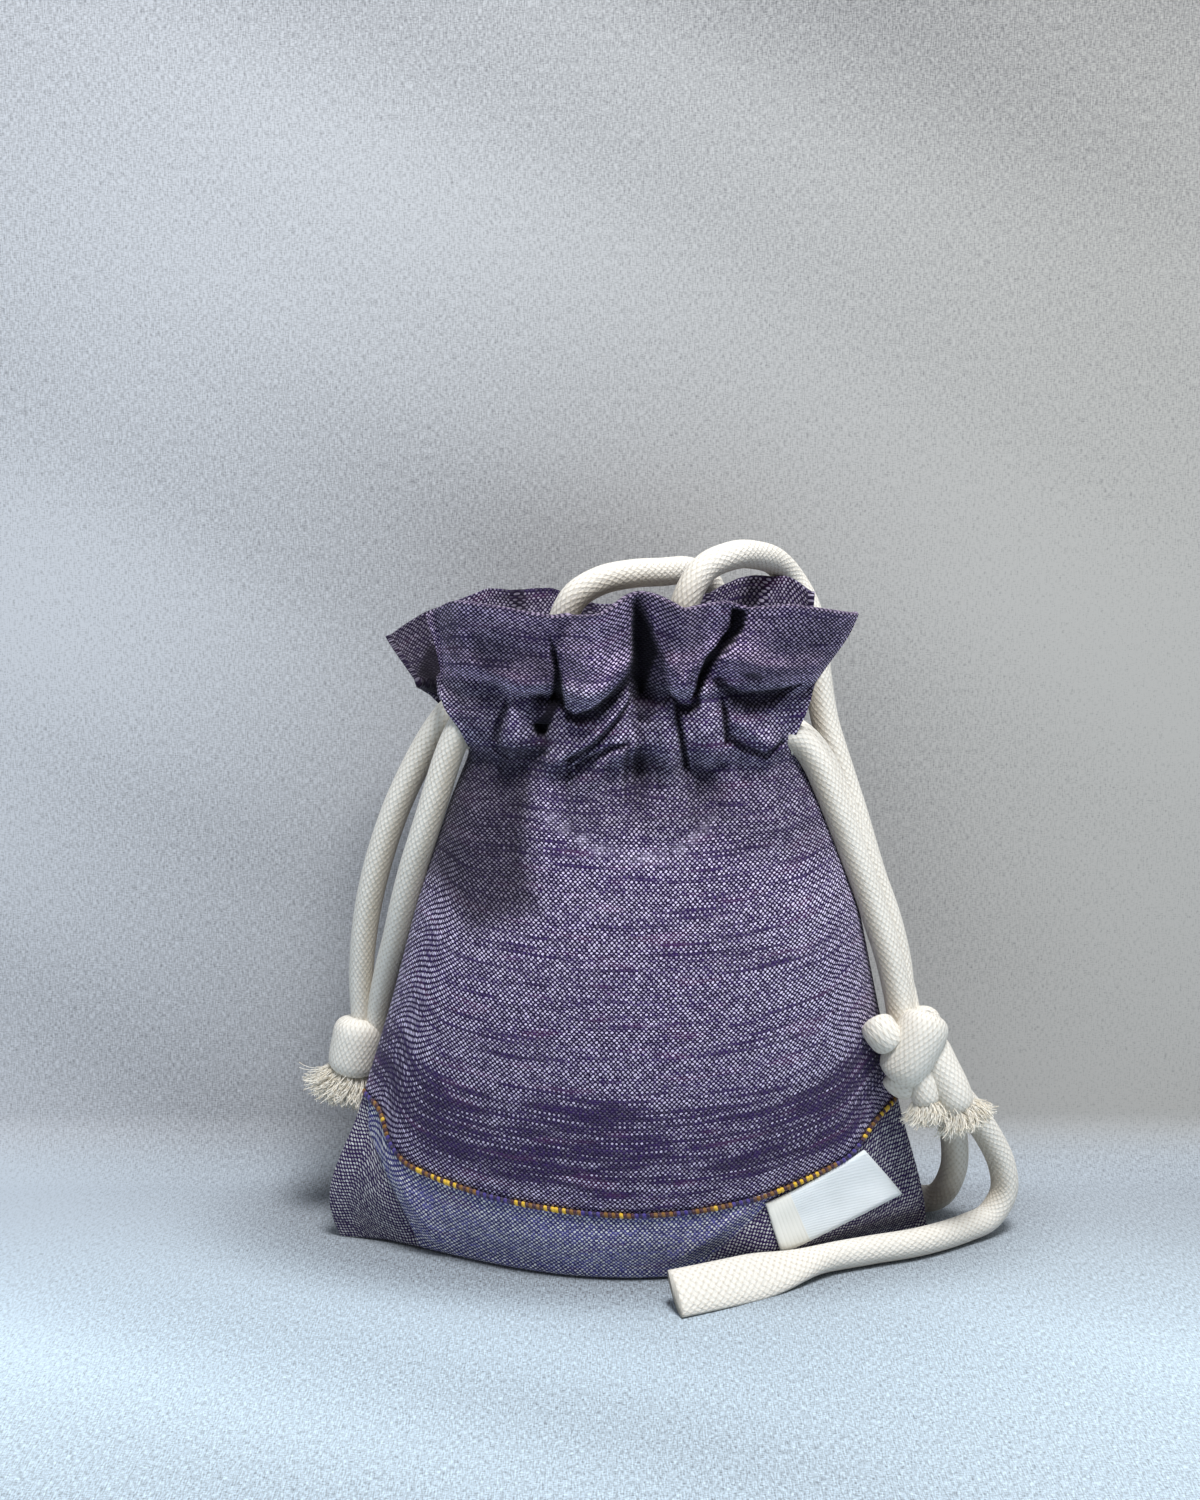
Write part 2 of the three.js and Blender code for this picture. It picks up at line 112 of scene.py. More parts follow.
class Finish:
    """A material built from nodes that end in one matt shader."""

    def __init__(self, name, roughness=0.9, sheen=0.0):
        self.material = bpy.data.materials.new(name)
        self.material.use_nodes = True
        self.tree = self.material.node_tree
        self.shader = self.tree.nodes["Principled BSDF"]
        self.shader.inputs["Roughness"].default_value = roughness
        self.shader.inputs["Specular IOR Level"].default_value = 0.25
        self.shader.inputs["Sheen Weight"].default_value = sheen
        self.shader.inputs["Sheen Roughness"].default_value = 0.5

    def node(self, kind, settings, values, output=0):
        """Adds one node, sets it up, feeds its sockets and returns one of its outputs."""
        node = self.tree.nodes.new(kind)
        for key, setting in settings.items():
            setattr(node, key, setting)
        pairs = values.items() if isinstance(values, dict) else enumerate(values)
        for key, value in pairs:
            socket = node.inputs[key]
            if isinstance(value, Value):
                self.tree.links.new(value.socket, socket)
            elif isinstance(value, tuple) and len(value) == 3 and socket.type == "RGBA":
                socket.default_value = (*value, 1)
            else:
                socket.default_value = value
        return Value(self, node.outputs[output])

    def axes(self, vector, names):
        return [self.node("ShaderNodeSeparateXYZ", {}, [vector], axis) for axis in names]

    def attribute(self, name):
        return self.node("ShaderNodeAttribute", {"attribute_name": name}, {}, "Fac")

    def flat(self, name):
        """The two lengths of a piece's own flat map, in millimetres."""
        return self.axes(self.node("ShaderNodeUVMap", {"uv_map": name}, {}), "XY")

    def place(self):
        return self.node("ShaderNodeTexCoord", {}, {}, "Object")

    def noise(self, x, y, detail=2.0):
        place = self.node("ShaderNodeCombineXYZ", {}, {"X": x, "Y": y})
        settings = {"noise_dimensions": "2D"}
        return self.node("ShaderNodeTexNoise", settings, {"Vector": place, "Scale": 1.0, "Detail": detail}, 0)

    def chance(self, number):
        """A random number from 0 to 1 for each whole number."""
        return self.node("ShaderNodeTexWhiteNoise", {"noise_dimensions": "1D"}, {"W": number}, 0)

    def mix(self, share, first, second):
        return self.node("ShaderNodeMix", {"data_type": "RGBA"}, {0: share, 6: first, 7: second}, 2)

    def colour(self, colour):
        self.tree.links.new(colour.socket, self.shader.inputs["Base Color"])

    def bump(self, height, depth):
        """Raises the surface by height times depth, a length in metres."""
        bump = self.node("ShaderNodeBump", {}, {"Height": height, "Strength": 1.0, "Distance": depth})
        self.tree.links.new(bump.socket, self.shader.inputs["Normal"])


def cotton_yarn(name, pale, shade, bag_side_shade):
    """Undyed cotton yarns in a braid, with painted shade where they dive under, underneath and towards the
    pouch.
    """
    finish = Finish(name, roughness=0.95, sheen=0.06)
    around, along = finish.flat("Cord")
    left, right = around + along, around - along
    turned = ((left.floor() + right.floor()) * 0.5).fract() * 2
    first, second = left.fract() - 0.5, right.fract() - 0.5
    side = first + turned * (second - first)
    run = second + turned * (first - second)
    edge, dive = side * side * 4, run * run * 4
    fibre = finish.noise(around * 2.6 + side * 3.0, along * 1.4, 3.0)
    blotch = finish.noise(around * 0.21, along * 0.13)
    ply = (side * 3.0).fract() - 0.5
    # Painted shade in the gaps where the yarns dive under and between the plies, with random tone from the
    # noises.
    gap = edge * dive * 0.62 + 0.10 * edge + 0.12 * ply * ply * 4
    gap = gap * (0.35 + 1.1 * blotch) + 0.34 * (fibre - 0.5)
    [beside] = finish.axes(finish.place(), "X")
    sideways, upward = finish.axes(finish.node("ShaderNodeNewGeometry", {}, {}, "Normal"), "XZ")
    # Painted shade: the side that faces the pouch and the underside are mixed towards a dim brown.
    inward = sideways * (0.5 - beside.step(-0.045, 0.045)) * 1.7 - 0.55 * upward
    dim = inward.step(-0.4, 0.6) * bag_side_shade
    finish.colour(finish.mix(dim, finish.mix(gap.most(0.0), pale, shade), CORD_BAG_SIDE_SHADE))
    finish.bump((1 - edge) * (1 - 0.7 * dive) - ply * ply * 0.8 + fibre * 1.1, 0.00016)
    return finish.material


# The hanging cords get strong painted shade on their side towards the pouch.
cord_cotton = cotton_yarn("cotton_cord", CORD_PALE, CORD_GAP_SHADE, 0.62)


def smooth_route(points, step):
    """Points every step along a smooth curve through the given ones."""
    knots = np.array(points, float)
    knots = np.vstack([2 * knots[0] - knots[1], knots, 2 * knots[-1] - knots[-2]])
    fine = []
    for a, b, c, d in zip(knots, knots[1:], knots[2:], knots[3:]):
        gaps = np.sqrt([np.linalg.norm(b - a), np.linalg.norm(c - b), np.linalg.norm(d - c)])
        t0, t1, t2, t3 = np.concatenate([[0], np.cumsum(gaps)])
        t = np.linspace(t1, t2, 40, endpoint=False)[:, None]
        ab = (t1 - t) / (t1 - t0) * a + (t - t0) / (t1 - t0) * b
        bc = (t2 - t) / (t2 - t1) * b + (t - t1) / (t2 - t1) * c
        cd = (t3 - t) / (t3 - t2) * c + (t - t2) / (t3 - t2) * d
        abc = (t2 - t) / (t2 - t0) * ab + (t - t0) / (t2 - t0) * bc
        bcd = (t3 - t) / (t3 - t1) * bc + (t - t1) / (t3 - t1) * cd
        fine.append((t2 - t) / (t2 - t1) * abc + (t - t1) / (t2 - t1) * bcd)
    fine = np.vstack([*fine, knots[-2:-1]])
    run = np.concatenate([[0], np.cumsum(np.linalg.norm(np.diff(fine, axis=0), axis=1))])
    even = np.linspace(0, run[-1], max(8, int(run[-1] / step)) + 1)
    return np.column_stack([np.interp(even, run, fine[:, axis]) for axis in range(3)])


def plain_mesh(name, points, faces, material, flat=None, flat_name="Cloth", **numbers):
    """A smooth mesh from points in millimetres, with its flat map and any numbers on its points."""
    mesh = bpy.data.meshes.new(name)
    mesh.from_pydata((np.asarray(points) * MM).tolist(), [], faces)
    mesh.polygons.foreach_set("use_smooth", [True] * len(mesh.polygons))
    if flat is not None:
        corners = np.zeros(len(mesh.loops), int)
        mesh.loops.foreach_get("vertex_index", corners)
        layer = mesh.uv_layers.new(name=flat_name)
        layer.data.foreach_set("uv", np.asarray(flat, np.float32)[corners].ravel())
    for key, value in numbers.items():
        layer = mesh.attributes.new(key, "FLOAT", "POINT")
        layer.data.foreach_set("value", np.asarray(value, np.float32).ravel())
    mesh.materials.append(material)
    mesh.update()
    obj = bpy.data.objects.new(name, mesh)
    bpy.context.scene.collection.objects.link(obj)
    return obj


def ring_faces(rows, columns):
    """Quads of a tube of closed rings, with a fan of triangles at each end."""
    first = np.arange(rows - 1)[:, None] * columns
    k = np.arange(columns)[None, :]
    n = (k + 1) % columns
    quads = np.stack([first + k, first + n, first + columns + n, first + columns + k], -1).reshape(-1, 4)
    start, end = rows * columns, rows * columns + 1
    last = (rows - 1) * columns
    caps = [[start, (i + 1) % columns, i] for i in range(columns)]
    caps += [[end, last + i, last + (i + 1) % columns] for i in range(columns)]
    return quads.tolist() + caps


def braided_cord(name, points, step=0.8, sides=36, diameter=CORD_DIAMETER, carriers=CARRIERS,
                 flat_length=0.0, flat_width=1.0, flat_height=1.0, flat_turn=0.0, swell=None):
    """A braided cord along its route; its far end may be pressed flat, and swell thickens it along its run."""
    route = smooth_route(points, step)
    rows = len(route)
    way = np.gradient(route, axis=0)
    way /= np.linalg.norm(way, axis=1)[:, None]
    upright = np.zeros((rows, 3))
    upright[-1] = (0.0, 0.0, 1.0) if abs(way[-1][2]) < 0.9 else (0.0, 1.0, 0.0)
    for i in range(rows - 1, -1, -1):
        held = upright[min(i + 1, rows - 1)]
        held = held - held.dot(way[i]) * way[i]
        upright[i] = held / np.linalg.norm(held)
    across = np.cross(way, upright)
    run = np.concatenate([[0], np.cumsum(np.linalg.norm(np.diff(route, axis=0), axis=1))])
    turn = np.arange(sides) * 2 * math.pi / sides
    radius = diameter / 2 * np.ones(rows)
    if swell is not None:
        radius = radius * swell(run / run[-1])
    press = np.zeros(rows)
    if flat_length:
        press = np.clip((run - run[-1] + flat_length) / (0.6 * flat_length), 0, 1)
        press = press * press * (3 - 2 * press)
    lean = flat_turn * press[:, None]
    cos, sin = np.cos(lean), np.sin(lean)
    across, upright = cos * across + sin * upright, cos * upright - sin * across
    wide = ((1 + (flat_width - 1) * press) * radius)[:, None] * np.cos(turn)[None, :]
    high = ((1 + (flat_height - 1) * press) * radius)[:, None] * np.sin(turn)[None, :]
    body = route[:, None] + wide[..., None] * across[:, None] + high[..., None] * upright[:, None]
    points = np.vstack([body.reshape(-1, 3), route[:1] - 0.4 * way[:1], route[-1:] + 0.4 * way[-1:]])
    yarns = carriers * turn[None, :] / (2 * math.pi)
    flat = np.stack(np.broadcast_arrays(yarns, run[:, None] / CELL_LENGTH), -1)
    flat = np.vstack([flat.reshape(-1, 2), flat[0, :1], flat[-1, :1]])
    cord = plain_mesh(name, points, ring_faces(rows, sides), cord_cotton, flat, "Cord")
    layer = cord.data.uv_layers["Cord"].data
    places = np.zeros(2 * len(layer), np.float32)
    layer.foreach_get("uv", places)
    seam = places[:8 * (rows - 1) * sides].reshape(rows - 1, sides, 4, 2)[:, -1]
    seam[:, 1:3, 0] += carriers
    layer.foreach_set("uv", places)
    return cord, route * MM, run[-1] * MM


LEFT_OUTER_ROUTE = [
    (-35, 6.2, 138.4), (-39.8, 5.8, 137.6), (-43.8, 5.5, 135.4), (-47.2, 5.6, 131.2), (-50.3, 5.8, 126.2),
    (-54.4, 6.2, 118.4), (-58.5, 6.8, 109.2), (-63.3, 8, 94.9), (-66.6, 9.6, 80.2), (-68.2, 11.2, 65.3),
    (-68.2, 11.8, 56), (-68.2, 11.9, 49),
]
LEFT_INNER_ROUTE = [
    (-32.6, -5.6, 138.8), (-36.8, -5.4, 137.4), (-40, -5.3, 134.2), (-42.4, -5.2, 129.6), (-44.7, -5.2, 123.6),
    (-47.4, -5, 115), (-50.3, -4.2, 106), (-53.1, -2.6, 97.4), (-56, -0.2, 87), (-58.3, 2.6, 78),
    (-60.6, 5.6, 70.2), (-62.6, 8.4, 62.5), (-64, 10.4, 56), (-65.4, 11.4, 49),
]
RIGHT_FRONT_ROUTE = [
    (33.5, -5.6, 131.4), (38, -5.4, 131.2), (42.2, -5.3, 129), (45.4, -5.4, 124.6), (47.9, -5.6, 119.4),
    (51, -5.9, 112), (54.6, -6, 103), (57.9, -6.2, 94.4), (61.2, -6.6, 85), (64.2, -7.2, 76), (66.8, -7.8, 65),
    (67.8, -8.6, 57),
]
RIGHT_BACK_ROUTE = [
    (35.5, 6, 131), (40.4, 5.6, 130.6), (44.4, 5.3, 127.8), (48, 5.2, 123), (52.8, 4, 112.5), (56.6, 3.4, 104),
    (60.6, 3, 95), (65, 1.8, 83), (67.6, 0.4, 72), (68.2, -1.8, 64.4), (68.6, -4.6, 57),
]
CARRY_ROUTE = [
    (70.6, 0.6, 57), (69.8, 3, 62), (68.7, 6.2, 67.5), (67.3, 8.4, 75), (65.4, 9.8, 83), (62.6, 10.6, 91),
    (59.9, 11.2, 99.5), (57.2, 12.6, 108.5), (53.6, 14.6, 119.5), (50, 16.4, 131), (48, 17.8, 143),
    (47, 19, 152), (45, 20.4, 160), (41.2, 20.6, 166.6), (36.6, 16, 171.4), (31, 9, 173.6), (25, 1.6, 174),
    (18, -3.6, 171.2), (13.6, -6, 164), (11.5, -3, 150), (10.5, 0, 134), (9.5, 1, 119), (5, 2, 106),
    (-4, 2, 102), (-13, 1, 107), (-17, 0, 121), (-17.4, 0.4, 135), (-17.2, -0.6, 148), (-16.2, -3, 158),
    (-13, -3.6, 164.6), (-7, -1.8, 168.2), (0.5, 2.4, 169.5), (8, 9, 169.4), (15, 17, 169), (20, 24, 166),
    (23.5, 28.5, 158), (26, 31, 145), (28, 31.5, 125), (31, 32, 104), (35, 32.5, 82), (40, 32, 58),
    (47, 29.5, 35), (55.5, 26, 16), (64, 22, 6), (73, 17.5, 3.8), (81, 13, 5.2), (84.6, 9, 14), (83.8, 6, 26),
    (80.6, 4, 36), (76.4, 2.6, 45), (72.8, 0.6, 52.4),
]
TAIL_ROUTE = [
    (71.5, -5.5, 53), (78, -4.4, 44.6), (84.5, -2.2, 37), (91.4, 0.4, 27.4), (95.8, 2, 18.3), (96.6, 2.4, 11),
    (92.8, 0.6, 5.2), (86, -3.6, 3.7), (73, -12, 3.7), (60, -17, 3.7), (47, -22.4, 3.7), (34, -31, 4),
    (21.5, -38.5, 4.6), (10.6, -44, 4.8),
]


def free_end(name, node, points, thin=0.0):
    """One hanging end of a drawcord, from the casing down to its knot."""
    cord, route, length = braided_cord(
        name, points, swell=lambda share: 1 - thin * np.clip(2 * share - 1, 0, 1) ** 1.5)
    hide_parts(node)
    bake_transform(cord)


free_end("left_outer_cord", "left_outer_end", LEFT_OUTER_ROUTE, thin=0.2)
free_end("left_inner_cord", "left_inner_end", LEFT_INNER_ROUTE, thin=0.2)
free_end("right_front_cord", "right_front_end", RIGHT_FRONT_ROUTE)
free_end("right_back_cord", "right_back_end", RIGHT_BACK_ROUTE)

carry_cord, route, length = braided_cord("carry_cord", CARRY_ROUTE)
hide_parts("carry_loop")
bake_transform(carry_cord)

carry_end, route, length = braided_cord("carry_end", TAIL_ROUTE, flat_length=50, flat_width=1.64,
                                        flat_height=0.5, flat_turn=math.radians(50))
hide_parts("carry_tail")
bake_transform(carry_end)


# Drawcords inside the casing
# The same cotton cord, once round the neck for each pull, one above the other in the casing's channel.
# The gathered cloth presses it thinner, and each run leaves through the gap at its own side seam.
CASING_Z = 133.2
CASING_HALF_LENGTH = 38.0
HELD_HALF_DEPTH = 7.4
HELD_DIAMETER = 5.6
CASING_OPEN_ANGLE = math.radians(64)
CORD_LIFT = 3.8
HELD_END_X = 40
HELD_END_DROP = 1.6


def casing_line(turn):
    """The middle of the casing's channel, a long round loop about the neck."""
    bow = math.copysign(abs(math.cos(turn)) ** 0.6, math.cos(turn))
    return np.array([CASING_HALF_LENGTH * math.sin(turn), -HELD_HALF_DEPTH * bow, CASING_Z])


def held_cord(name, node, side, lift):
    """The run of a drawcord in the casing, out at one side seam."""
    turns = np.linspace(-CASING_OPEN_ANGLE, math.pi + CASING_OPEN_ANGLE, 37)
    loop = [casing_line(turn) for turn in turns]
    loop = [np.array([-side * x, y, z + lift]) for x, y, z in loop]
    end_z = CASING_Z + lift - HELD_END_DROP
    ends = [np.array([side * HELD_END_X, y, end_z]) for y in (loop[0][1], loop[-1][1])]
    cord, _, _ = braided_cord(name, [ends[0], *loop, ends[1]], 1.0, 24, HELD_DIAMETER)
    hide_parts(node)
    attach(cord, "bag")


held_cord("left_held_cord", "left_drawcord", -1, CORD_LIFT)
held_cord("right_held_cord", "right_drawcord", 1, -CORD_LIFT)


# Knots
# The cord's own end wound round the strands and pulled tight. The right-hand one holds four strands, so it is
# larger, with a rounded bight standing out in front.
LEFT_KNOT = np.array([-69.9, 11.9, 48.0])
RIGHT_KNOT = np.array([68.8, -9.4, 54.0])


def blunt(share):
    """A sausage's outline: full along its run, rounded off at both ends."""
    return np.maximum(1 - np.abs(2 * share - 1) ** 5, 0.02) ** 0.42


# The knots get weaker painted shade on their side towards the pouch.
knot_cotton = cotton_yarn("knot_cotton", CORD_PALE, CORD_GAP_SHADE, 0.3)


def wound(name, node, centre, runs, body):
    """A knot of a few short, thick runs of cord about its centre, each with its points and width."""
    made = []
    for k, (points, diameter) in enumerate(runs):
        places = [centre + np.array(place) for place in points]
        carriers = round(CARRIERS * diameter / CORD_DIAMETER)
        run, _, _ = braided_cord(f"{name}_{k}", places, 0.4, 40, diameter, carriers, swell=blunt)
        made.append(run)
    bpy.context.view_layer.update()
    with bpy.context.temp_override(active_object=made[0], selected_editable_objects=made):
        bpy.ops.object.join()
    knot = made[0]
    knot.data.materials.clear()
    knot.data.materials.append(knot_cotton)
    knot.name = name
    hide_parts(node)
    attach(knot, body)


wound("left_knot_cord", "left_knot", LEFT_KNOT, [
    (((1.4, 0, 6.8), (0.7, -0.4, 2.5), (-0.4, -0.4, -3), (-1.5, 0, -8.6)), 13.2),
    (((5.4, 1.5, 4.5), (2, 4.5, 1), (-4, 3.5, -3)), 7.5),
], "left_pull")
wound("right_knot_cord", "right_knot", RIGHT_KNOT, [
    (((5.0, -1.4, 9.0), (3.5, -2.8, 5.4), (0.6, -3.6, -0.6), (-2.8, -2.8, -7.8)), 12.8),
    (((-8.4, -2.0, 7.2), (-6.8, -4.4, 4.6), (-4.2, -4, 1.6)), 8.6),
    (((-1, 3, 8), (1.5, 3.4, 1), (3, 1, -7)), 9.0),
    (((-4.4, -3, -6), (-2, -3.6, -8.8), (1.4, -3.8, -9.8)), 6.4),
    (((1.8, -3, -3), (3.4, -4.2, -8), (4.8, -4.8, -14)), 7.2),
    (((4.4, 0.2, 3), (7.6, -2.0, -4), (10.6, -3.2, -10), (13.2, -3.9, -16.2)), 9.4),
    (((5.4, 0, 6), (5, 5.6, 4.6), (2.2, 9.8, 2.8), (-1.6, 9.2, 1.2), (-3, 4.6, 0)), 7.5),
    (((6, 1, 0.6), (5.2, 7.2, -1), (2.8, 10.4, -2.2), (-1.4, 9.2, -3.4), (-3.2, 4.4, -4.6)), 7.5),
], "right_pull")


# Frayed ends
# Below each knot the braid is cut and its yarns have come apart into a soft tuft of curled cotton.
YARN_THICK = 0.18
YARN_CURL = 0.3
YARN_PALE = (0.95, 0.93, 0.87)
YARN_SHADE = (0.76, 0.69, 0.56)


def nodes_group(name, sizes):
    """An empty tree of geometry nodes with named number inputs, and its two end nodes."""
    tree = bpy.data.node_groups.new(name, "GeometryNodeTree")
    tree.interface.new_socket("Geometry", in_out="INPUT", socket_type="NodeSocketGeometry")
    tree.interface.new_socket("Geometry", in_out="OUTPUT", socket_type="NodeSocketGeometry")
    for key in sizes:
        tree.interface.new_socket(key, in_out="INPUT", socket_type="NodeSocketFloat")
    return tree, tree.nodes.new("NodeGroupInput"), tree.nodes.new("NodeGroupOutput")


def put(tree, kind, links, output=0, **settings):
    """Adds a geometry node, fills its sockets from values or other sockets and returns one of its outputs."""
    node = tree.nodes.new(kind)
    for key, setting in settings.items():
        setattr(node, key, setting)
    for key, value in links.items():
        if isinstance(value, bpy.types.NodeSocket):
            tree.links.new(value, node.inputs[key])
        else:
            node.inputs[key].default_value = value
    return node.outputs[output]


def one_mesh(tree, made, laid, material):
    """Ends a tree: all that is laid out becomes one plain mesh of one material."""
    whole = put(tree, "GeometryNodeRealizeInstances", {"Geometry": laid})
    finished = put(tree, "GeometryNodeSetMaterial", {"Geometry": whole, "Material": material})
    tree.links.new(finished, made.inputs[0])
    return tree


def source_object(name, points, edges, faces):
    """A bare object for a tree of geometry nodes to grow from."""
    mesh = bpy.data.meshes.new(name)
    mesh.from_pydata(points, edges, faces)
    source = bpy.data.objects.new(name, mesh)
    bpy.context.scene.collection.objects.link(source)
    return source


def grown(name, source, tree, sizes):
    """The plain mesh that a tree of geometry nodes makes from a source object."""
    modifier = source.modifiers.new("grow", "NODES")
    modifier.node_group = tree
    for item in tree.interface.items_tree:
        if item.in_out == "INPUT" and item.name in sizes:
            modifier[item.identifier] = sizes[item.name]
    evaluated = source.evaluated_get(bpy.context.evaluated_depsgraph_get())
    mesh = bpy.data.meshes.new_from_object(evaluated)
    source.modifiers.remove(modifier)
    bpy.data.objects.remove(source)
    mesh.name = name
    mesh.polygons.foreach_set("use_smooth", [True] * len(mesh.polygons))
    obj = bpy.data.objects.new(name, mesh)
    bpy.context.scene.collection.objects.link(obj)
    return obj


def tuft_tree(material):
    """Curled yarns that grow from the points of a cut end, each turned and bent by chance."""
    sizes = ("Length", "Curl", "Thickness")
    tree, given, made = nodes_group("frayed_yarns", sizes)
    length, curl, thick = (given.outputs[key] for key in sizes)
    index = put(tree, "GeometryNodeInputIndex", {})
    spread = put(tree, "FunctionNodeRandomValue", {"Min": 0.55, "Max": 1.1, "ID": index, "Seed": 4}, 1)
    bend = put(tree, "ShaderNodeCombineXYZ", {"X": curl, "Z": 0.6})
    end = put(tree, "ShaderNodeCombineXYZ", {"X": 0.0, "Y": curl, "Z": 1.0})
    yarn = put(tree, "GeometryNodeCurveQuadraticBezier",
               {"Resolution": 7, "Start": (0, 0, 0), "Middle": bend, "End": end})
    ring = put(tree, "GeometryNodeCurvePrimitiveCircle", {"Resolution": 5, "Radius": thick})
    tube = put(tree, "GeometryNodeCurveToMesh", {"Curve": yarn, "Profile Curve": ring, "Fill Caps": True})
    normal = put(tree, "GeometryNodeInputNormal", {})
    lean = put(tree, "FunctionNodeAlignRotationToVector", {"Vector": normal}, axis="Z")
    turns = {"Min": (-0.25, -0.25, 0), "Max": (0.25, 0.25, 6.28), "ID": index, "Seed": 9}
    spin = put(tree, "FunctionNodeRandomValue", turns, data_type="FLOAT_VECTOR")
    turned = put(tree, "FunctionNodeRotateRotation", {"Rotation": lean, "Rotate By": spin},
                 rotation_space="LOCAL")
    size = put(tree, "ShaderNodeMath", {0: spread, 1: length}, operation="MULTIPLY")
    scale = put(tree, "ShaderNodeCombineXYZ", {"X": size, "Y": size, "Z": size})
    laid = put(tree, "GeometryNodeInstanceOnPoints",
               {"Points": given.outputs[0], "Instance": tube, "Rotation": turned, "Scale": scale})
    return one_mesh(tree, made, laid, material)


def loose_yarn(name):
    """Loose cotton fibres: the cord's colour, with a little shade from one place to the next."""
    finish = Finish(name, roughness=0.95, sheen=0.06)
    shade = finish.node("ShaderNodeTexNoise", {}, {"Vector": finish.place(), "Scale": 900.0, "Detail": 2.0})
    finish.colour(finish.mix(shade.step(0.25, 0.75), YARN_SHADE, YARN_PALE))
    finish.bump(shade, 0.0002)
    return finish.material


frayed_yarns = tuft_tree(loose_yarn("frayed_cotton"))


def frayed_end(name, node, ends, body, seed):
    """Tufts of yarn from cut ends of cord, each with its start, way, length, half width, count and spread."""
    chance = np.random.default_rng(seed)
    corners, faces = [], []
    for start, way, length, width, count, flare in ends:
        way = np.array(way) / np.linalg.norm(way)
        side = np.cross(way, (0, 1, 0))
        side /= np.linalg.norm(side)
        deep = np.cross(way, side)
        for _ in range(count):
            reach, angle = width * math.sqrt(chance.random()), 2 * math.pi * chance.random()
            out = math.cos(angle) * side + 0.7 * math.sin(angle) * deep
            place = start + reach * out - 1.5 * way * chance.random()
            lean = way + flare * (reach / width) * out + 0.15 * chance.normal(size=3)
            lean /= np.linalg.norm(lean)
            first = np.cross(lean, (0.3, 0.9, 0.2))
            first /= np.linalg.norm(first)
            second = np.cross(lean, first)
            faces.append((len(corners), len(corners) + 1, len(corners) + 2))
            corners += [tuple((place + 0.001 * (math.cos(a) * first + math.sin(a) * second)) * MM)
                        for a in (0, 2.1, 4.2)]
    length = ends[0][2]
    sizes = {"Length": length * MM, "Curl": YARN_CURL, "Thickness": YARN_THICK / 2 / length}
    tuft = grown(name, source_object(name + "_roots", corners, [], faces), frayed_yarns, sizes)
    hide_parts(node)
    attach(tuft, body)


frayed_end("left_frayed_end", "left_tuft", [
    (LEFT_KNOT + (-2.0, 0, -8.0), (-0.3, -0.15, -1), 9.0, 4.9, 640, 0.5),
], "left_pull", 3)
frayed_end("right_frayed_end", "right_tuft", [
    (RIGHT_KNOT + (13.0, -3.9, -15.6), (0.42, -0.1, -0.9), 5.4, 4.6, 560, 0.55),
    (RIGHT_KNOT + (4.6, -4.8, -13.4), (0.2, -0.1, -1), 5.4, 3.4, 340, 0.5),
], "right_pull", 5)


# Front cloth
# One cut of handwoven slub cotton, violet and white in plain weave. It is gathered on the casing below the
# rim, so that it stands above the casing as a flap with deep folds and swells out below it over what the
# pouch holds.
WARP_PITCH = 0.58
WEFT_PITCH = 0.60
CLOTH_THICK = 1.2
NECK_Z = 125.0
CASING_TOP_Z = 141.5
WALL_TOP_Z = 124.0
BASE_DEPTH, NECK_DEPTH, BELLY_DEPTH = 26, 14.5, 11
SEAM_GAP = 0.15
CASING_DEPTH, CASING_PUFF, CASING_MOUTH = 12.6, 2.6, 8.6
FLAP_FLARE, CORNER_TURN = 9.5, 13
FOOT_MIDDLE, FOOT_HALF_WIDTH = 0.5, 70.4
# Near black, for painted shade in the folds, tucks and shaded stretches of the cloth.
PAINTED_SHADE_COLOUR = (0.004, 0.002, 0.008)
BLUSH = (0.10, 0.018, 0.10)
LEFT_OUTLINE = [(18, -73.4), (37, -67.3), (63, -59.2), (89, -52.3), (114, -44), (127, -38.6), (132, -40),
                (138.5, -45), (144, -45.5), (152, -47), (160, -49.4), (166, -49.6)]
RIGHT_OUTLINE = [(18, 72.6), (37, 68.4), (63, 62.5), (89, 56.9), (114, 47.7), (127, 41), (131, 39.6),
                 (136, 42.4), (142, 44.1), (148, 47.7), (155, 52.3), (161, 54.7), (166, 55.2)]
FRONT_RIM = [(-49.4, 159.6), (-41.6, 164.9), (-30, 164), (-17.8, 161.2), (-6.8, 162.8), (-0.3, 167.2),
             (4.3, 166.7), (11.4, 163.7), (22.5, 165.1), (25.7, 163.4), (36.8, 164.4), (54.7, 161)]
TRIM_LINE = [(-73, 40), (-63.6, 37), (-60.5, 29.7), (-54.4, 24.6), (-45.3, 22.6), (-31, 20.4), (-11.8, 19),
             (2.6, 18.4), (17, 18.9), (31.4, 20.4), (40.9, 22.6), (55.3, 26.6), (63.8, 34.9), (73, 39)]
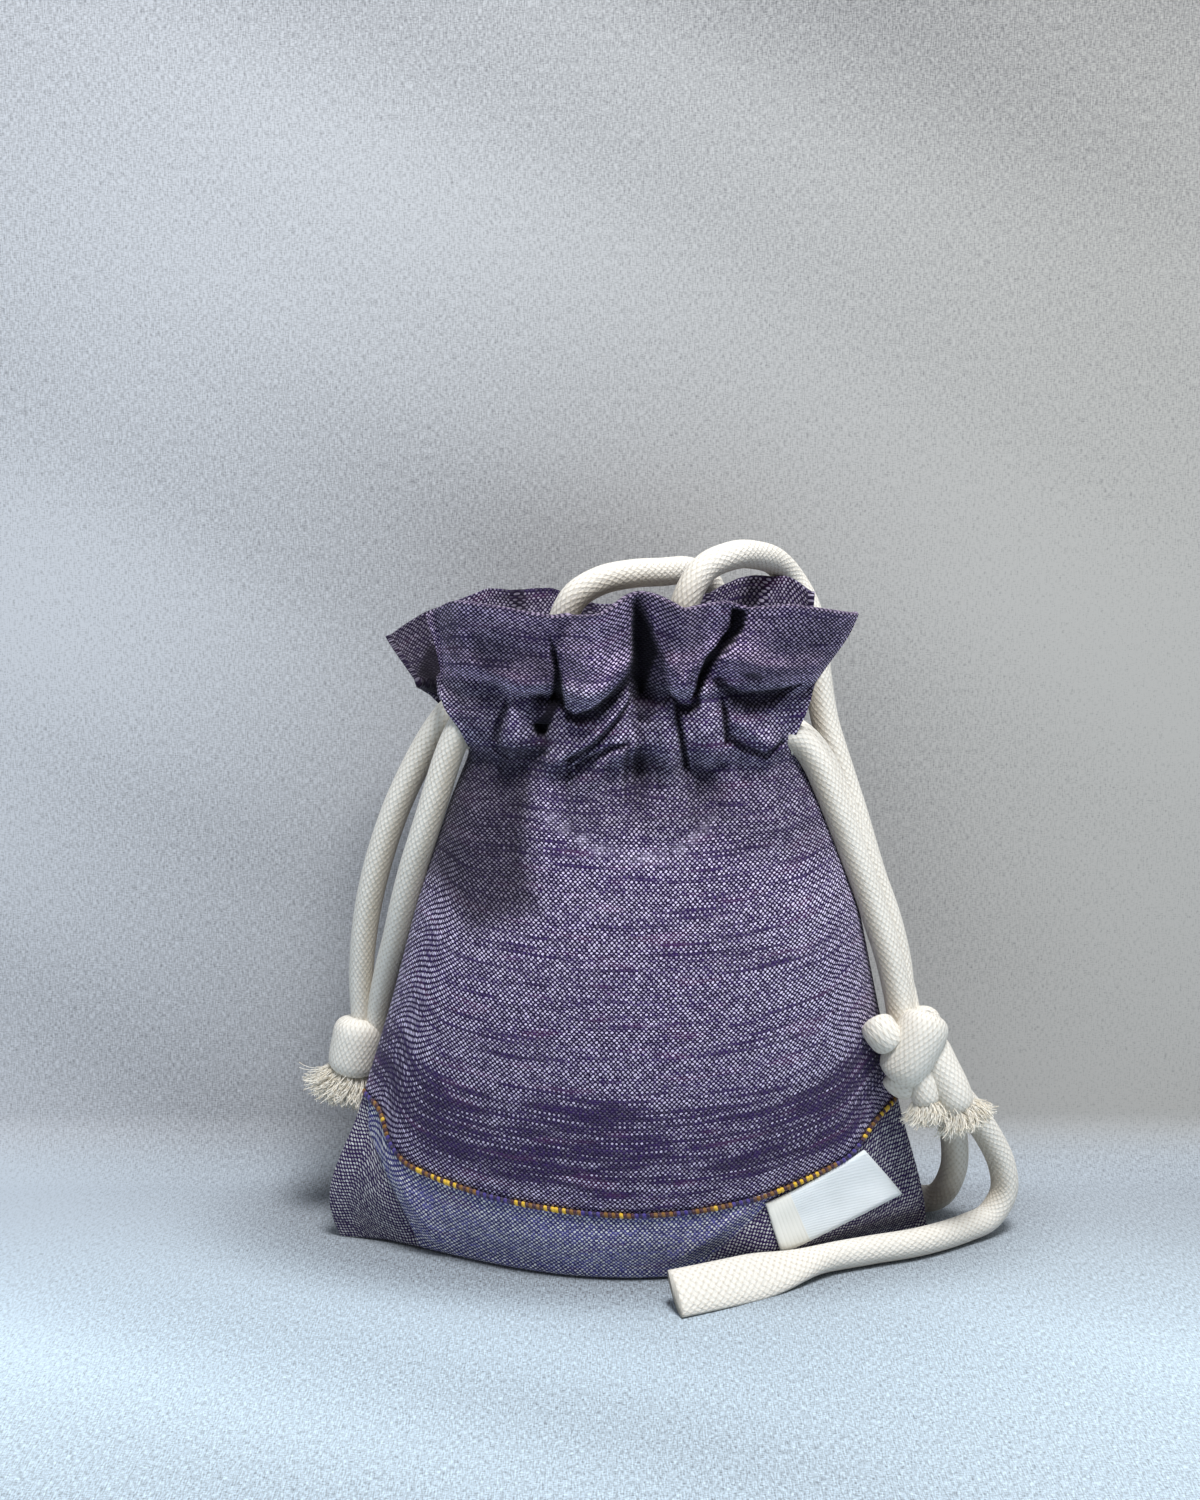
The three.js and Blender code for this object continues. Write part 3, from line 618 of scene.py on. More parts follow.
# Folds of the front, each a line on the cloth as (x, z), its half width and how far it stands out
FRONT_FOLDS = [
    ([(2.3, 169), (2.5, 156), (3, 142)], 3.0, -5.0),
    ([(25.9, 166), (22, 154), (17.2, 146.5)], 2.4, -4.2),
    ([(-14, 162), (-17.6, 153), (-17, 145), (-19.4, 137)], 2.8, -4.2),
    ([(-44.6, 146.4), (-37.6, 145.7), (-29.3, 142.8), (-21, 140.4)], 1.5, -3.4),
    ([(-14.5, 143), (-12, 142), (-8.5, 142.2), (-5, 145.2), (-2, 149)], 2.8, 4.4),
    ([(9.5, 150), (12.4, 145), (15.2, 150)], 2.6, 3.8),
    ([(21, 152.5), (27, 151), (34, 148.4), (44, 148.4)], 3.0, 4.2),
    ([(-43, 149.8), (-37, 149), (-29, 146.4), (-22, 144.4)], 3.0, 3.4),
    ([(-33, 166), (-30, 155), (-25, 148)], 7.5, 3.4),
    ([(-6.5, 166), (-8, 152), (-9, 145)], 5.0, 4.6),
    ([(-9, 149), (-10, 143.5)], 4.6, 2.8),
    ([(11.5, 166), (11.8, 154), (12.2, 146)], 4.2, 4.2),
    ([(40, 165), (36, 157), (30, 151)], 8.0, 3.0),
    ([(-21.6, 141.6), (-22.1, 134.5), (-20, 129)], 2.2, -2.6),
    ([(-27, 141), (-27.8, 129)], 3.2, 3.6),
    ([(-38, 142), (-40, 133)], 3.4, 3.2),
    ([(-18.4, 126), (-9.1, 131.6), (0, 141)], 2.3, 3.6),
    ([(-12.2, 120.5), (0, 130)], 2.4, 2.4),
    ([(2.4, 138), (2.5, 123)], 2.2, -3.4),
    ([(7.8, 144), (9.6, 125)], 2.3, 3.0),
    ([(17.7, 142.6), (18.8, 128)], 3.0, 3.6),
    ([(25.5, 136.4), (34, 130)], 2.4, 3.0),
    ([(-20.6, 130), (-25, 120), (-28, 108), (-29, 98)], 5.5, -2.6),
    ([(2.5, 126), (1.6, 114)], 2.6, -3.4),
    ([(18.5, 128), (20, 117.6), (22, 110)], 5.0, -2.4),
    ([(34, 127), (36, 113)], 5.0, 2.4),
    ([(-39, 123), (-40, 108)], 4.5, 2.2),
    ([(-8, 122), (-8, 112)], 6.0, 1.6),
    ([(11, 121), (11, 112)], 5.0, 1.6),
    ([(-15, 111), (-6.1, 106.4), (4.1, 105), (11.6, 106.4), (19, 111.5)], 1.8, -0.7),
    ([(-12, 107), (-6, 103.6), (4, 102.2), (12, 103.6), (16, 106)], 2.2, 0.5),
]
# Small puckers below the casing
FRONT_FOLDS += [([(x, 127), (1.06 * x, 121 - 3 * (k % 3))], 1.5, -1.8)
                for k, x in enumerate((-35, -30.5, -25, -14, -9.5, -4.5, 6.5, 12.5, 16, 26.5, 31, 36))]
# Tucks, each an outline on the cloth as (x, z), its depth, the width of its edge and how much painted shade it
# gets.
# Those a millimetre deep or less are mostly patches of painted shade on shaded lobes, shoulders and hollows.
FRONT_TUCKS = [
    ([(0.9, 165.3), (1.8, 165.3), (5.1, 159.5), (7.8, 152.1), (8.8, 146.4), (10.4, 141.1), (6.4, 139.2),
      (4.3, 135.5), (2.5, 135.5), (0.1, 142.3), (-0.9, 146.8), (0.6, 151.3), (0.5, 158.8)], 4.5, 0.9, 0.55),
    ([(1, 164.6), (4.9, 158.4), (7.2, 152.1), (5.4, 148.3), (4.2, 142.3), (2.7, 140), (0, 146.4), (0.7, 151.3),
      (0.6, 158.8)], 6.0, 1.2, 0.96),
    ([(23.9, 163.1), (27.3, 162.7), (26.7, 158.4), (23.8, 154.4), (20.9, 151.3), (18.3, 146.8), (16.3, 141.7),
      (14.9, 141.1), (16.3, 146.8), (17.8, 151.3), (21.2, 155.6), (23.6, 158.4)], 4.5, 0.8, 0.96),
    ([(-18.8, 156.2), (-17.4, 152.5), (-16.3, 146.5), (-15.2, 138.5), (-17.2, 138.6), (-18.9, 135.1),
      (-20.2, 131.2), (-22.1, 131.9), (-23, 134.2), (-20.4, 137.3), (-18.2, 142),
      (-17.8, 148)], 4.0, 0.9, 0.94),
    ([(-15.3, 138.9), (-13, 137.5), (-8.8, 139.5), (-4.3, 143.8), (0.2, 148.5), (0.3, 144.7), (-2.7, 141.5),
      (-7.3, 137.2), (-11.8, 135.3), (-15, 136.2)], 3.0, 1.0, 0.85),
    ([(9.9, 142.3), (12.2, 140), (14.4, 139.7), (16.5, 142), (16.7, 139.4), (13.9, 137.5),
      (11, 138)], 3.0, 0.9, 0.85),
    ([(19.7, 145.7), (21.6, 146.7), (23.5, 144.4), (27.3, 142.6), (32, 142.9), (36.7, 143.3), (40.9, 144),
      (37.9, 141.7), (34.5, 139.2), (28.9, 138.3), (24.2, 140.6)], 3.2, 1.4, 0.75),
    ([(26.1, 147.9), (29.3, 148.5), (32.4, 146.5), (31, 145.3), (27.6, 146.1)], 2.0, 2.0, 0.85),
    ([(-29.6, 140.8), (-28.4, 140.1), (-30.4, 134.3), (-31.2, 130.1), (-33, 130.3),
      (-32.2, 135.1)], 2.0, 0.9, 0.7),
    ([(-15.2, 126.9), (-8.9, 131.4), (-2.9, 137.5), (0.3, 141.7), (0.3, 139.8), (-2.4, 135.8), (-8, 130),
      (-14.3, 125.4)], 2.4, 0.9, 0.8),
    ([(-15.2, 123.3), (-10.5, 127.4), (-4.4, 130.5), (0.3, 131.4), (0.3, 130.2), (-3.6, 129.2), (-9.7, 126.1),
      (-14.3, 122.3)], 2.0, 1.0, 0.7),
    ([(10.6, 138.5), (11.9, 138.5), (12.9, 132.3), (14.5, 124.5), (13.1, 124), (11.8, 130.8)], 3.0, 0.9, 0.85),
    ([(21.9, 141.7), (23.3, 138.3), (23.9, 130.5), (22.8, 130), (22.3, 135.2)], 2.6, 0.8, 0.8),
    ([(23.7, 133.4), (27.7, 130.1), (32.3, 128.3), (37, 131), (37.3, 129.8), (32.8, 126.5), (27.2, 128.6),
      (23.4, 131.2)], 2.0, 1.0, 0.7),
    ([(13.5, 125.2), (15.4, 124.1), (19.2, 124.1), (23, 126), (23.4, 124.5), (19.2, 121.7),
      (14.6, 122.1)], 1.6, 1.4, 0.6),
    ([(-33.3, 130.2), (-28.7, 129.4), (-22.6, 128.9), (-20.2, 130.5), (-19.4, 127.4), (-22.7, 125.1),
      (-28.7, 125.8), (-32.5, 128.1)], 1.8, 1.6, 0.7),
    ([(-28.3, 127.1), (-19.9, 127.7), (-20.7, 123.3), (-24.8, 118.6), (-26, 111.6), (-26.4, 103), (-32.3, 103),
      (-31.4, 111.6), (-31.9, 119.4)], 1.0, 4.0, 0.5),
    ([(14.2, 123.4), (22.9, 123.4), (25.2, 118.8), (22.2, 112.6), (16.9, 115.7), (14.6, 118.8)], 1.0, 4.5, 0.5),
    ([(-37.9, 158.4), (-29.7, 156.9), (-20.8, 153.5), (-17.7, 149), (-18.2, 145.3), (-26.1, 145.3),
      (-34.3, 147.5), (-37.9, 151.3)], 0.8, 4.5, 0.6),
    ([(6, 166), (19, 166), (17, 152), (11, 148), (7, 152)], 0.2, 4.0, 0.36),
    ([(-49, 159), (-42.5, 163.5), (-39.6, 155.2), (-36.7, 149.1), (-41.2, 149.1),
      (-45.3, 153.7)], 0.5, 0.9, 0.36),
    ([(-40, 161.5), (-20, 160), (-20, 150), (-38, 150)], 0.2, 6.0, 0.36),
    ([(28, 163), (50, 162), (50, 150), (28, 148.5)], 0.2, 6.0, 0.34),
    ([(-44, 129), (-24.8, 129.8), (-23.7, 103), (-21.4, 92), (-38.1, 85.4), (-49.4, 98.1)], 0.4, 8.0, 0.74),
    ([(-20, 127), (24, 127), (20, 107.5), (4, 108.5), (-15, 110)], 0.3, 6.0, 0.36),
    ([(15.4, 122.9), (40.5, 129.1), (46, 116.7), (48.6, 102.6), (24.8, 104.1), (17.8, 113.5)], 0.4, 8.0, 0.3),
    ([(-44.2, 144.1), (-30.2, 146.4), (-29.9, 134.9), (-33, 128.7), (-37.2, 131)], 0.4, 4.0, 0.38),
    ([(22.6, 153.8), (37.6, 155.3), (52.5, 159.1), (45.2, 150), (36.3, 144), (27.2, 143.2)], 0.4, 5.0, 0.42),
    ([(-1.2, 131.9), (0.6, 131.9), (0.1, 123.4), (-0.4, 115.7), (-1.7, 115.7)], 1.2, 1.4, 0.6),
    ([(12.6, 125), (14.1, 124.2), (15.9, 117.3), (17.4, 109.5), (15.7, 109.5), (13.8, 117.3)], 1.2, 1.6, 0.6),
]
SEWN_LINE = [(-19, 112.6), (-15.2, 110.9), (-6.1, 106.1), (4.1, 104.9), (11.6, 106.1), (20, 112.4)]


def shape(points, at):
    """A smooth curve through a few (place, value) points."""
    places, values = np.array(points, float).T
    fine = np.linspace(places[0], places[-1], 400)
    line = np.interp(fine, places, values)
    width = max(3, int(400 * 0.03))
    kernel = np.hanning(2 * width + 1)
    padded = np.concatenate([np.full(width, line[0]), line, np.full(width, line[-1])])
    return np.interp(at, fine, np.convolve(padded, kernel / kernel.sum(), "valid"))


def line_gap(x, z, line):
    """The distance from (x, z) to a line through a few points."""
    nearest = np.full(x.shape, 1e9)
    ends = np.array(line, float)
    for a, b in zip(ends, ends[1:]):
        span = b - a
        share = np.clip(((x - a[0]) * span[0] + (z - a[1]) * span[1]) / span.dot(span), 0, 1)
        nearest = np.minimum(nearest, np.hypot(x - a[0] - share * span[0], z - a[1] - share * span[1]))
    return nearest


def folds(x, z, lines):
    """How far a cloth stands out at (x, z) for folds drawn as lines on it: ridges rounded, valleys creased."""
    out = np.zeros_like(x)
    for line, half_width, height in lines:
        gap = line_gap(x, z, line) / half_width
        out += height * np.exp(-(gap ** 2) if height > 0 else -((0.8 * gap) ** 1.3))
    return out


def tucked(x, z, tucks):
    """How far a cloth is drawn in at (x, z) by tucks with crisp edges, and how much painted shade they get."""
    depth_there, dark_there = np.zeros_like(x), np.zeros_like(x)
    for corners, depth, edge, dark in tucks:
        ring = corners + corners[:1]
        inside = np.zeros(x.shape, bool)
        for (ax, az), (bx, bz) in zip(ring, ring[1:]):
            inside ^= ((az > z) != (bz > z)) & (x < ax + (z - az) * (bx - ax) / (bz - az or 1.0))
        share = ramp(np.where(inside, 1, -1) * line_gap(x, z, ring), -edge / 2, edge / 2)
        depth_there = np.maximum(depth_there, depth * share)
        dark_there = np.maximum(dark_there, dark * share)
    return depth_there, dark_there


def wall_profile(t):
    """Half depth and roundness of the filled pouch, from its base at 0 to its neck at 1."""
    depth = BASE_DEPTH + (NECK_DEPTH - BASE_DEPTH) * t + BELLY_DEPTH * np.sin(math.pi * t)
    return depth, 0.42 + 1.18 * (1 - t) ** 3


def wall_depth(z, across):
    """How far the filled pouch stands out from its middle plane."""
    depth, lens = wall_profile(np.clip(z / WALL_TOP_Z, 0, 1))
    inside = np.maximum(1 - across ** 2, 0)
    return 0.08 + 1.32 * inside ** 0.3 + depth * inside ** lens


def ramp(value, low, high):
    share = np.clip((value - low) / (high - low), 0, 1)
    return share * share * (3 - 2 * share)


def flat_map(points, lean=0.35):
    """Flat lengths of a cloth grid: along its rows, mostly as seen from the front, and up its middle column."""
    middle = points.shape[1] // 2
    along = np.linalg.norm(np.diff(points, axis=1), axis=2)
    along = np.concatenate([np.zeros((len(points), 1)), np.cumsum(along, axis=1)], axis=1)
    along -= along[:, middle][:, None]
    along = (1 - lean) * points[..., 0] + lean * along
    run = np.concatenate([[0], np.cumsum(np.linalg.norm(np.diff(points[:, middle], axis=0), axis=1))])
    return np.stack([along, np.broadcast_to(run[:, None], along.shape)], -1)


def cloth_sheet(name, points, flat, material, thick=CLOTH_THICK, flip=False, **numbers):
    """A cloth of even thickness from a grid of points on its outer face."""
    rows, columns = points.shape[:2]
    first = np.arange(rows - 1)[:, None] * columns + np.arange(columns - 1)[None, :]
    quads = np.stack([first, first + 1, first + columns + 1, first + columns], -1).reshape(-1, 4)
    if flip:
        quads = quads[:, ::-1]
    cloth = plain_mesh(name, points.reshape(-1, 3), quads.tolist(), material, flat.reshape(-1, 2), **numbers)
    solid = cloth.modifiers.new("thickness", "SOLIDIFY")
    solid.thickness = thick * MM
    solid.offset = -1
    solid.use_rim = True
    evaluated = cloth.evaluated_get(bpy.context.evaluated_depsgraph_get())
    mesh = bpy.data.meshes.new_from_object(evaluated)
    cloth.modifiers.remove(solid)
    edges = mesh.uv_layers[0].data
    places, corners = np.zeros(2 * len(edges), np.float32), np.zeros(len(edges), int)
    edges.foreach_get("uv", places)
    mesh.loops.foreach_get("vertex_index", corners)
    turned_in = (np.arange(len(corners)) >= 8 * len(quads)) & (corners >= rows * columns)
    places.reshape(-1, 2)[turned_in] += thick
    edges.foreach_set("uv", places)
    cloth.data = mesh
    return cloth


def slub_weave(name, ground, pale, dark_band=None, cover=0.0, ears=None):
    """Plain weave with a pale warp over a dark weft, whose thick and thin stretches run as streaks along it."""
    finish = Finish(name, roughness=0.95, sheen=0.08)
    u, v = finish.flat("Cloth")
    if ears:
        ear = finish.attribute("ear").step(0.45, 0.55)
        turn = (u.step(-1, 1) * 2 - 1) * ear * 0.41
        u, v = u - ear * u * 0.09 + turn * v, v - ear * v * 0.09 - turn * u
    wander = finish.noise(u * 0.03, v * 0.08, 1.0) - 0.5
    jitter = finish.noise(u * 0.7, v * 0.7, 1.0) - 0.5
    column = (u + wander * 0.6 + jitter * 0.5) / WARP_PITCH
    row = (v + wander * 1.5 + jitter * 0.3) / WEFT_PITCH
    warp, weft = column.floor(), row.floor()
    over = ((warp + weft) * 0.5).fract() * 2
    x, y = column.fract() - 0.5, row.fract() - 0.5
    thick = finish.chance(weft)
    glint = finish.chance(warp * 1.7 + weft * 13.0)
    slub = finish.noise(u * 0.05 + thick * 91.0, weft * 7.31, 1.0)
    cloud = finish.noise(u * 0.025, v * 0.09, 2.0)
    streak = slub + 0.45 * (cloud - 0.5) - cover
    if dark_band:
        low, high = dark_band
        streak = streak + 0.24 * v.step(low, low + 8) * (1 - v.step(high - 8, high))
    streak = streak.step(0.56, 0.80)
    dot = (1.08 - 0.3 * glint - x * x * 2.4 - y * y * (2.2 + 2.2 * thick)).step(0.06, 0.6) * over
    show = dot * (1.0 - 0.86 * streak) * (1.06 - 0.58 * glint) * (0.8 + 0.2 * thick)
    yarn = finish.mix((slub * 0.6 + glint * 0.4).step(0.35, 0.95), ground, tuple(3 * c for c in ground))
    blush = finish.noise(u * 0.06 + 40.0, v * 0.3 + 7.0, 1.0).step(0.60, 0.78) * 0.35
    yarn = finish.mix(blush, yarn, BLUSH)
    # The ears: a darker violet with fewer pale dots, partly their own colour and partly painted shade.
    if ears:
        yarn = finish.mix(ear, yarn, ears)
        show = show * (1 - 0.28 * ear)
    if dark_band:
        show = show + finish.attribute("sewn") * (0.55 - show) * (0.2 + 0.8 * glint)
    # Painted light: the pale dots are brighter over the flap and the pouch's sides; the flap's pale is also
    # more violet.
    raised = finish.attribute("raised")
    show = show * (1 + 0.4 * raised)
    pale = finish.mix(raised.step(0.8, 1.0), pale, tuple(a * b for a, b in zip(pale, (1.0, 0.9, 0.97))))
    # Painted shade: the deep attribute mixes the cloth towards near black in folds, tucks and shaded stretches.
    finish.colour(finish.mix(finish.attribute("deep"), finish.mix(show, yarn, pale), PAINTED_SHADE_COLOUR))
    finish.bump(dot + (1 - over) * (1.0 - y * y * 4.0) * 0.8, 0.00014)
    return finish.material


slub_cotton = slub_weave("slub_cotton", (0.012, 0.004, 0.036), (0.83, 0.755, 1.0), dark_band=(3, 33))


def held_cover(x, z):
    """How far out a cloth must stand to clear the drawcords that the casing holds."""
    bow = HELD_HALF_DEPTH * np.maximum(1 - (x / CASING_HALF_LENGTH) ** 2, 0) ** 0.3
    out = np.zeros_like(x)
    for lift in (-CORD_LIFT, CORD_LIFT):
        half = np.sqrt(np.maximum((HELD_DIAMETER / 2) ** 2 - (z - CASING_Z - lift) ** 2, 0))
        out = np.maximum(out, np.where(half > 0, bow + half + CLOTH_THICK + 0.5, 0))
    return out


def gathered(s, z, level):
    """How far out a gathered cloth stands before its folds: pouch wall, open-ended casing, then flap."""
    foot = np.maximum(CASING_DEPTH * np.maximum(1 - s ** 2, 0) ** 0.4, 2) + 1
    neck = wall_depth(np.minimum(z, WALL_TOP_Z), s)
    puff = CASING_PUFF * np.sin(math.pi * np.clip(level - 1, 0, 1)) ** 0.8
    casing = neck + (foot - neck) * ramp(level, 1.0, 2.0) + puff
    mouth = CASING_MOUTH * ramp(level, 1.0, 1.35) * (1 - ramp(level, 1.9, 2.3))
    flare = foot + FLAP_FLARE * np.clip(level - 2, 0, 1) ** 0.8 * (1 - 0.3 * s ** 2)
    return np.maximum(np.where(level <= 2, casing, flare), mouth)


def cloth_grid(columns, rows):
    """Places across a cloth, -1 to 1, and up it: foot 0, neck 1, top of the casing 2, rim 3."""
    across = np.sin(np.linspace(-1, 1, columns) * math.pi / 2)
    below, casing, flap = rows
    levels = [np.linspace(0, 1, below, endpoint=False), np.linspace(1, 2, casing, endpoint=False)]
    return np.meshgrid(across, np.concatenate([*levels, np.linspace(2, 3, flap)]))


def within(s, level, foot_z, rim, rim_shift, left, right):
    """The places (x, z) of a gathered cloth as seen from the front, between its side outlines, foot and rim."""
    rim_x = np.where(s < 0, rim[0][0] * -s, rim[-1][0] * s) + rim_shift * (1 - s ** 2)
    z = foot_z + (NECK_Z - foot_z) * np.clip(level, 0, 1)
    z = z + (CASING_TOP_Z - NECK_Z) * np.clip(level - 1, 0, 1)
    z = z + (shape(rim, rim_x) - CASING_TOP_Z) * np.clip(level - 2, 0, 1)
    left, right = shape(left, z), shape(right, z)
    return 0.5 * (left + right) + 0.5 * (right - left) * s, z


def front_points():
    """Grids of the front cloth's points, with its folds and without them, and its painted shade."""
    s, level = cloth_grid(331, (52, 38, 50))
    trim_z = shape(TRIM_LINE, FOOT_MIDDLE + FOOT_HALF_WIDTH * s)
    x, z = within(s, level, trim_z, FRONT_RIM, 1.5, LEFT_OUTLINE, RIGHT_OUTLINE)
    smooth = gathered(s, z, level)
    turned = CORNER_TURN * ramp(-x, 39, 49) * ramp(level, 1.9, 2.5)
    out = folds(x, z, FRONT_FOLDS) * np.maximum(1 - s ** 2, 0) ** 0.25
    drawn, dark = tucked(x, z, FRONT_TUCKS)
    y = np.maximum(np.maximum(smooth - turned + out - drawn, SEAM_GAP), held_cover(x, z))
    # Painted shade in the fold valleys and the tucks; the top rows along the rim are drawn darker too.
    shade = 1 - (1 - 0.7 * ramp(-out, 0.6, 6.0)) * (1 - dark)
    shade = np.maximum(shade, 0.45 * ramp(level, 2.94, 3.0))
    return np.stack([x, -y, z], -1), np.stack([x, -smooth, z], -1), shade


front, front_smooth, front_shade = front_points()
front_x, front_z = front[..., 0], front[..., 2]
sewn = 0.6 * np.exp(-((line_gap(front_x, front_z, SEWN_LINE) / 0.7) ** 2))
# Painted light on the front cloth: over the flap above the casing and on the pouch's sides below the neck.
beside = np.maximum(0.75 * ramp(front_x, 22, 44), 0.4 * ramp(-front_x, 34, 52))
raised = ramp(front_z, 140, 146) + beside * ramp(front_z, 44, 62) * (1 - ramp(front_z, 98, 116))
front_cloth = cloth_sheet("front_cloth", front, flat_map(front_smooth), slub_cotton,
                          sewn=sewn, deep=front_shade, raised=raised)
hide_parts("front_panel", "front_casing", "front_frill")
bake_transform(front_cloth)


# Back cloth
# The same cotton, cut and gathered like the front, with its own flap. Its left corner spreads out past the
# front's, and the carry cord lies across the dip in its rim.
BACK_RIM = [(-62.1, 152.8), (-52.6, 158.6), (-37.4, 164), (-20.9, 164), (-8, 160), (6, 159), (16, 162),
            (22, 165.3), (31, 167.8), (40, 167.8), (46.1, 164)]
BACK_LEFT = [(8, -75.5), (37, -67.3), (63, -59.2), (89, -52.3), (114, -44), (127, -38.6), (134, -42),
             (141, -51), (148, -56.5), (154, -61), (166, -62.1)]
BACK_RIGHT = [(8, 75.5), (37, 68.4), (63, 62.5), (89, 56.9), (114, 47.7), (127, 41), (134, 40.4), (141, 41),
              (154, 45), (166, 46.1)]
BACK_FOLDS = [
    ([(-46, 160), (-42, 150), (-37, 141)], 2.4, -3.4),
    ([(-28, 165), (-27, 152), (-25, 128)], 2.0, -4.6),
    ([(-10, 163), (-11, 150), (-12, 124), (-14, 112)], 2.2, -4.4),
    ([(7, 162), (8, 150), (7, 126), (6, 113)], 2.0, -4.2),
    ([(20, 166), (19, 152), (20, 126), (24, 112)], 2.2, -4.4),
    ([(35, 168), (32, 152), (31, 130)], 2.0, -3.4),
    ([(-36, 164), (-33, 150), (-31, 128)], 3.6, 2.4),
    ([(-19, 163), (-18, 148), (-19, 118)], 3.8, 2.6),
    ([(-1, 160), (-2, 148), (-3, 118)], 4.2, 2.6),
    ([(14, 164), (14, 148), (13, 120)], 3.6, 2.4),
    ([(28, 168), (26, 150), (27, 124)], 3.8, 2.4),
    ([(-30, 126), (-38, 108)], 3.6, -2.6),
    ([(33, 126), (40, 108)], 3.6, -2.6),
]
# Patches of painted shade at the back flap's left corner, each listed like the front's tucks.
BACK_TUCKS = [
    ([(-51, 153), (-43, 150), (-41, 143), (-47, 136), (-55, 143.5)], 1.0, 6.0, 0.97),
    ([(-62, 153), (-50, 160), (-42, 150), (-43, 143), (-48, 137), (-57, 144)], 0.3, 4.0, 0.76),
]
BACK_FOOT_Z = 8


def back_points():
    """The same grids for the back cloth."""
    s, level = cloth_grid(201, (84, 30, 44))
    x, z = within(s, level, BACK_FOOT_Z, BACK_RIM, -8, BACK_LEFT, BACK_RIGHT)
    smooth = gathered(s, z, level)
    out = folds(x, z, BACK_FOLDS) * np.maximum(1 - s ** 2, 0) ** 0.25
    y = np.maximum(np.maximum(smooth + out, SEAM_GAP), held_cover(x, z))
    # Painted shade: in the fold valleys, over the back flap above the casing, and in the back tucks.
    shade = np.maximum(0.9 * ramp(-out, 0.8, 5), 0.4 * ramp(level, 1.8, 2.2))
    shade = np.maximum(shade, tucked(x, z, BACK_TUCKS)[1])
    return np.stack([x, y, z], -1), np.stack([x, smooth, z], -1), shade


back, back_smooth, back_shade = back_points()
back_cloth = cloth_sheet("back_cloth", back, flat_map(back_smooth), slub_cotton, flip=True, deep=back_shade)
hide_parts("back_panel", "back_casing", "back_frill")
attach(back_cloth, "bag")


# Base cloth
# A bluer cut of the same weave, from the trim line down the front, under the pouch and a little way up the
# back. Its corners are folded in as ears, where the weave runs slantwise and a darker violet with fewer pale
# dots stands partly for the cloth's own colour and partly for painted shade on the folded corners.
FOOT_RADIUS = 3.0
LEFT_FOOT, RIGHT_FOOT = 73.5, 76.8
BACK_SEAM, BACK_SEAM_Z = 75.5, 8.4
LEFT_BULGE, RIGHT_BULGE = 4.6, 1.2
LEFT_EAR_LINE = [(-65.3, 30.4), (-58.1, 14.7), (-52.1, 0)]
RIGHT_EAR_LINE = [(15, 1), (35.5, 19.7), (60, 33)]
BASE_FOLDS = [
    ([(-65.3, 30.4), (-58.1, 14.7), (-52.1, 1.5)], 1.6, -1.6),
    ([(-61, 26), (-53, 13), (-46, 2)], 2.6, 1.2),
    ([(15, 3), (35.5, 19.7), (60, 33)], 1.3, -1.0),
    ([(12, 6), (33, 22), (58, 35)], 1.6, 0.7),
    ([(34, 5), (52, 8), (70, 12)], 6.0, 2.6),
]

base_cotton = slub_weave("base_cotton", (0.040, 0.037, 0.140), (0.97, 0.98, 1.0), cover=0.16,
                         ears=(0.026, 0.011, 0.072))


def base_points():
    """The base cloth's points, from the seam at the back, under the pouch and up to the trim line."""
    places = np.sin(np.linspace(-1, 1, front.shape[1]) * math.pi / 2)
    quarter = np.linspace(0, math.pi / 2, 6)[1:]
    columns = []
    for s in np.sin(np.linspace(-1, 1, 181) * math.pi / 2):
        where = np.interp(s, places, np.arange(len(places)))
        low, share = int(where), where - int(where)
        top = front[0][low] * (1 - share) + front[0][min(low + 1, len(places) - 1)] * share
        foot_x = (RIGHT_FOOT if s > 0 else LEFT_FOOT) * s
        bulge = (RIGHT_BULGE if s > 0 else LEFT_BULGE) * s * abs(s) ** 5
        foot_y = float(wall_depth(np.array(0.0), np.array(s)))
        radius = min(FOOT_RADIUS, 0.6 * foot_y)
        reach = foot_y - radius
        column = [top + (0, 0, 0.5)]
        for k in np.linspace(0, 1, 20)[1:]:
            x = top[0] + (foot_x - top[0]) * k + bulge * math.sin(math.pi * k ** 1.6)
            y = top[1] + (-foot_y - top[1]) * k ** 0.9 - 1.2 * math.sin(math.pi * k)
            column.append((x, y, top[2] + (radius - top[2]) * k))
        column += [(foot_x, -reach - radius * math.cos(a), radius - radius * math.sin(a)) for a in quarter]
        column += [(foot_x, y, 0.0) for y in np.linspace(-reach, reach, 16)[1:]]
        column += [(foot_x, reach + radius * math.sin(a), radius - radius * math.cos(a)) for a in quarter]
        seam_y = float(wall_depth(np.array(BACK_FOOT_Z), np.array(s))) + 0.4
        low_end = np.array([foot_x, foot_y, radius])
        high_end = np.array([BACK_SEAM * s, seam_y, BACK_SEAM_Z])
        column += [low_end + (high_end - low_end) * k for k in (0.34, 0.67, 1.0)]
        columns.append(column)
    points = np.array(columns).transpose(1, 0, 2)
    out = folds(points[..., 0], points[..., 2], BASE_FOLDS) * ramp(points[..., 2], 0.5, 6)
    points[..., 1] -= out * (points[..., 1] < -2)
    return points[::-1]


def beyond(points, line, side):
    """1 past a slanting line of the front, 0 before it."""
    line_x, line_z = np.array(sorted(line, key=lambda place: place[1]), float).T
    x = np.interp(points[..., 2], line_z, line_x)
    return ramp(side * (points[..., 0] - x), -1.5, 1.5) * (points[..., 1] < 0)


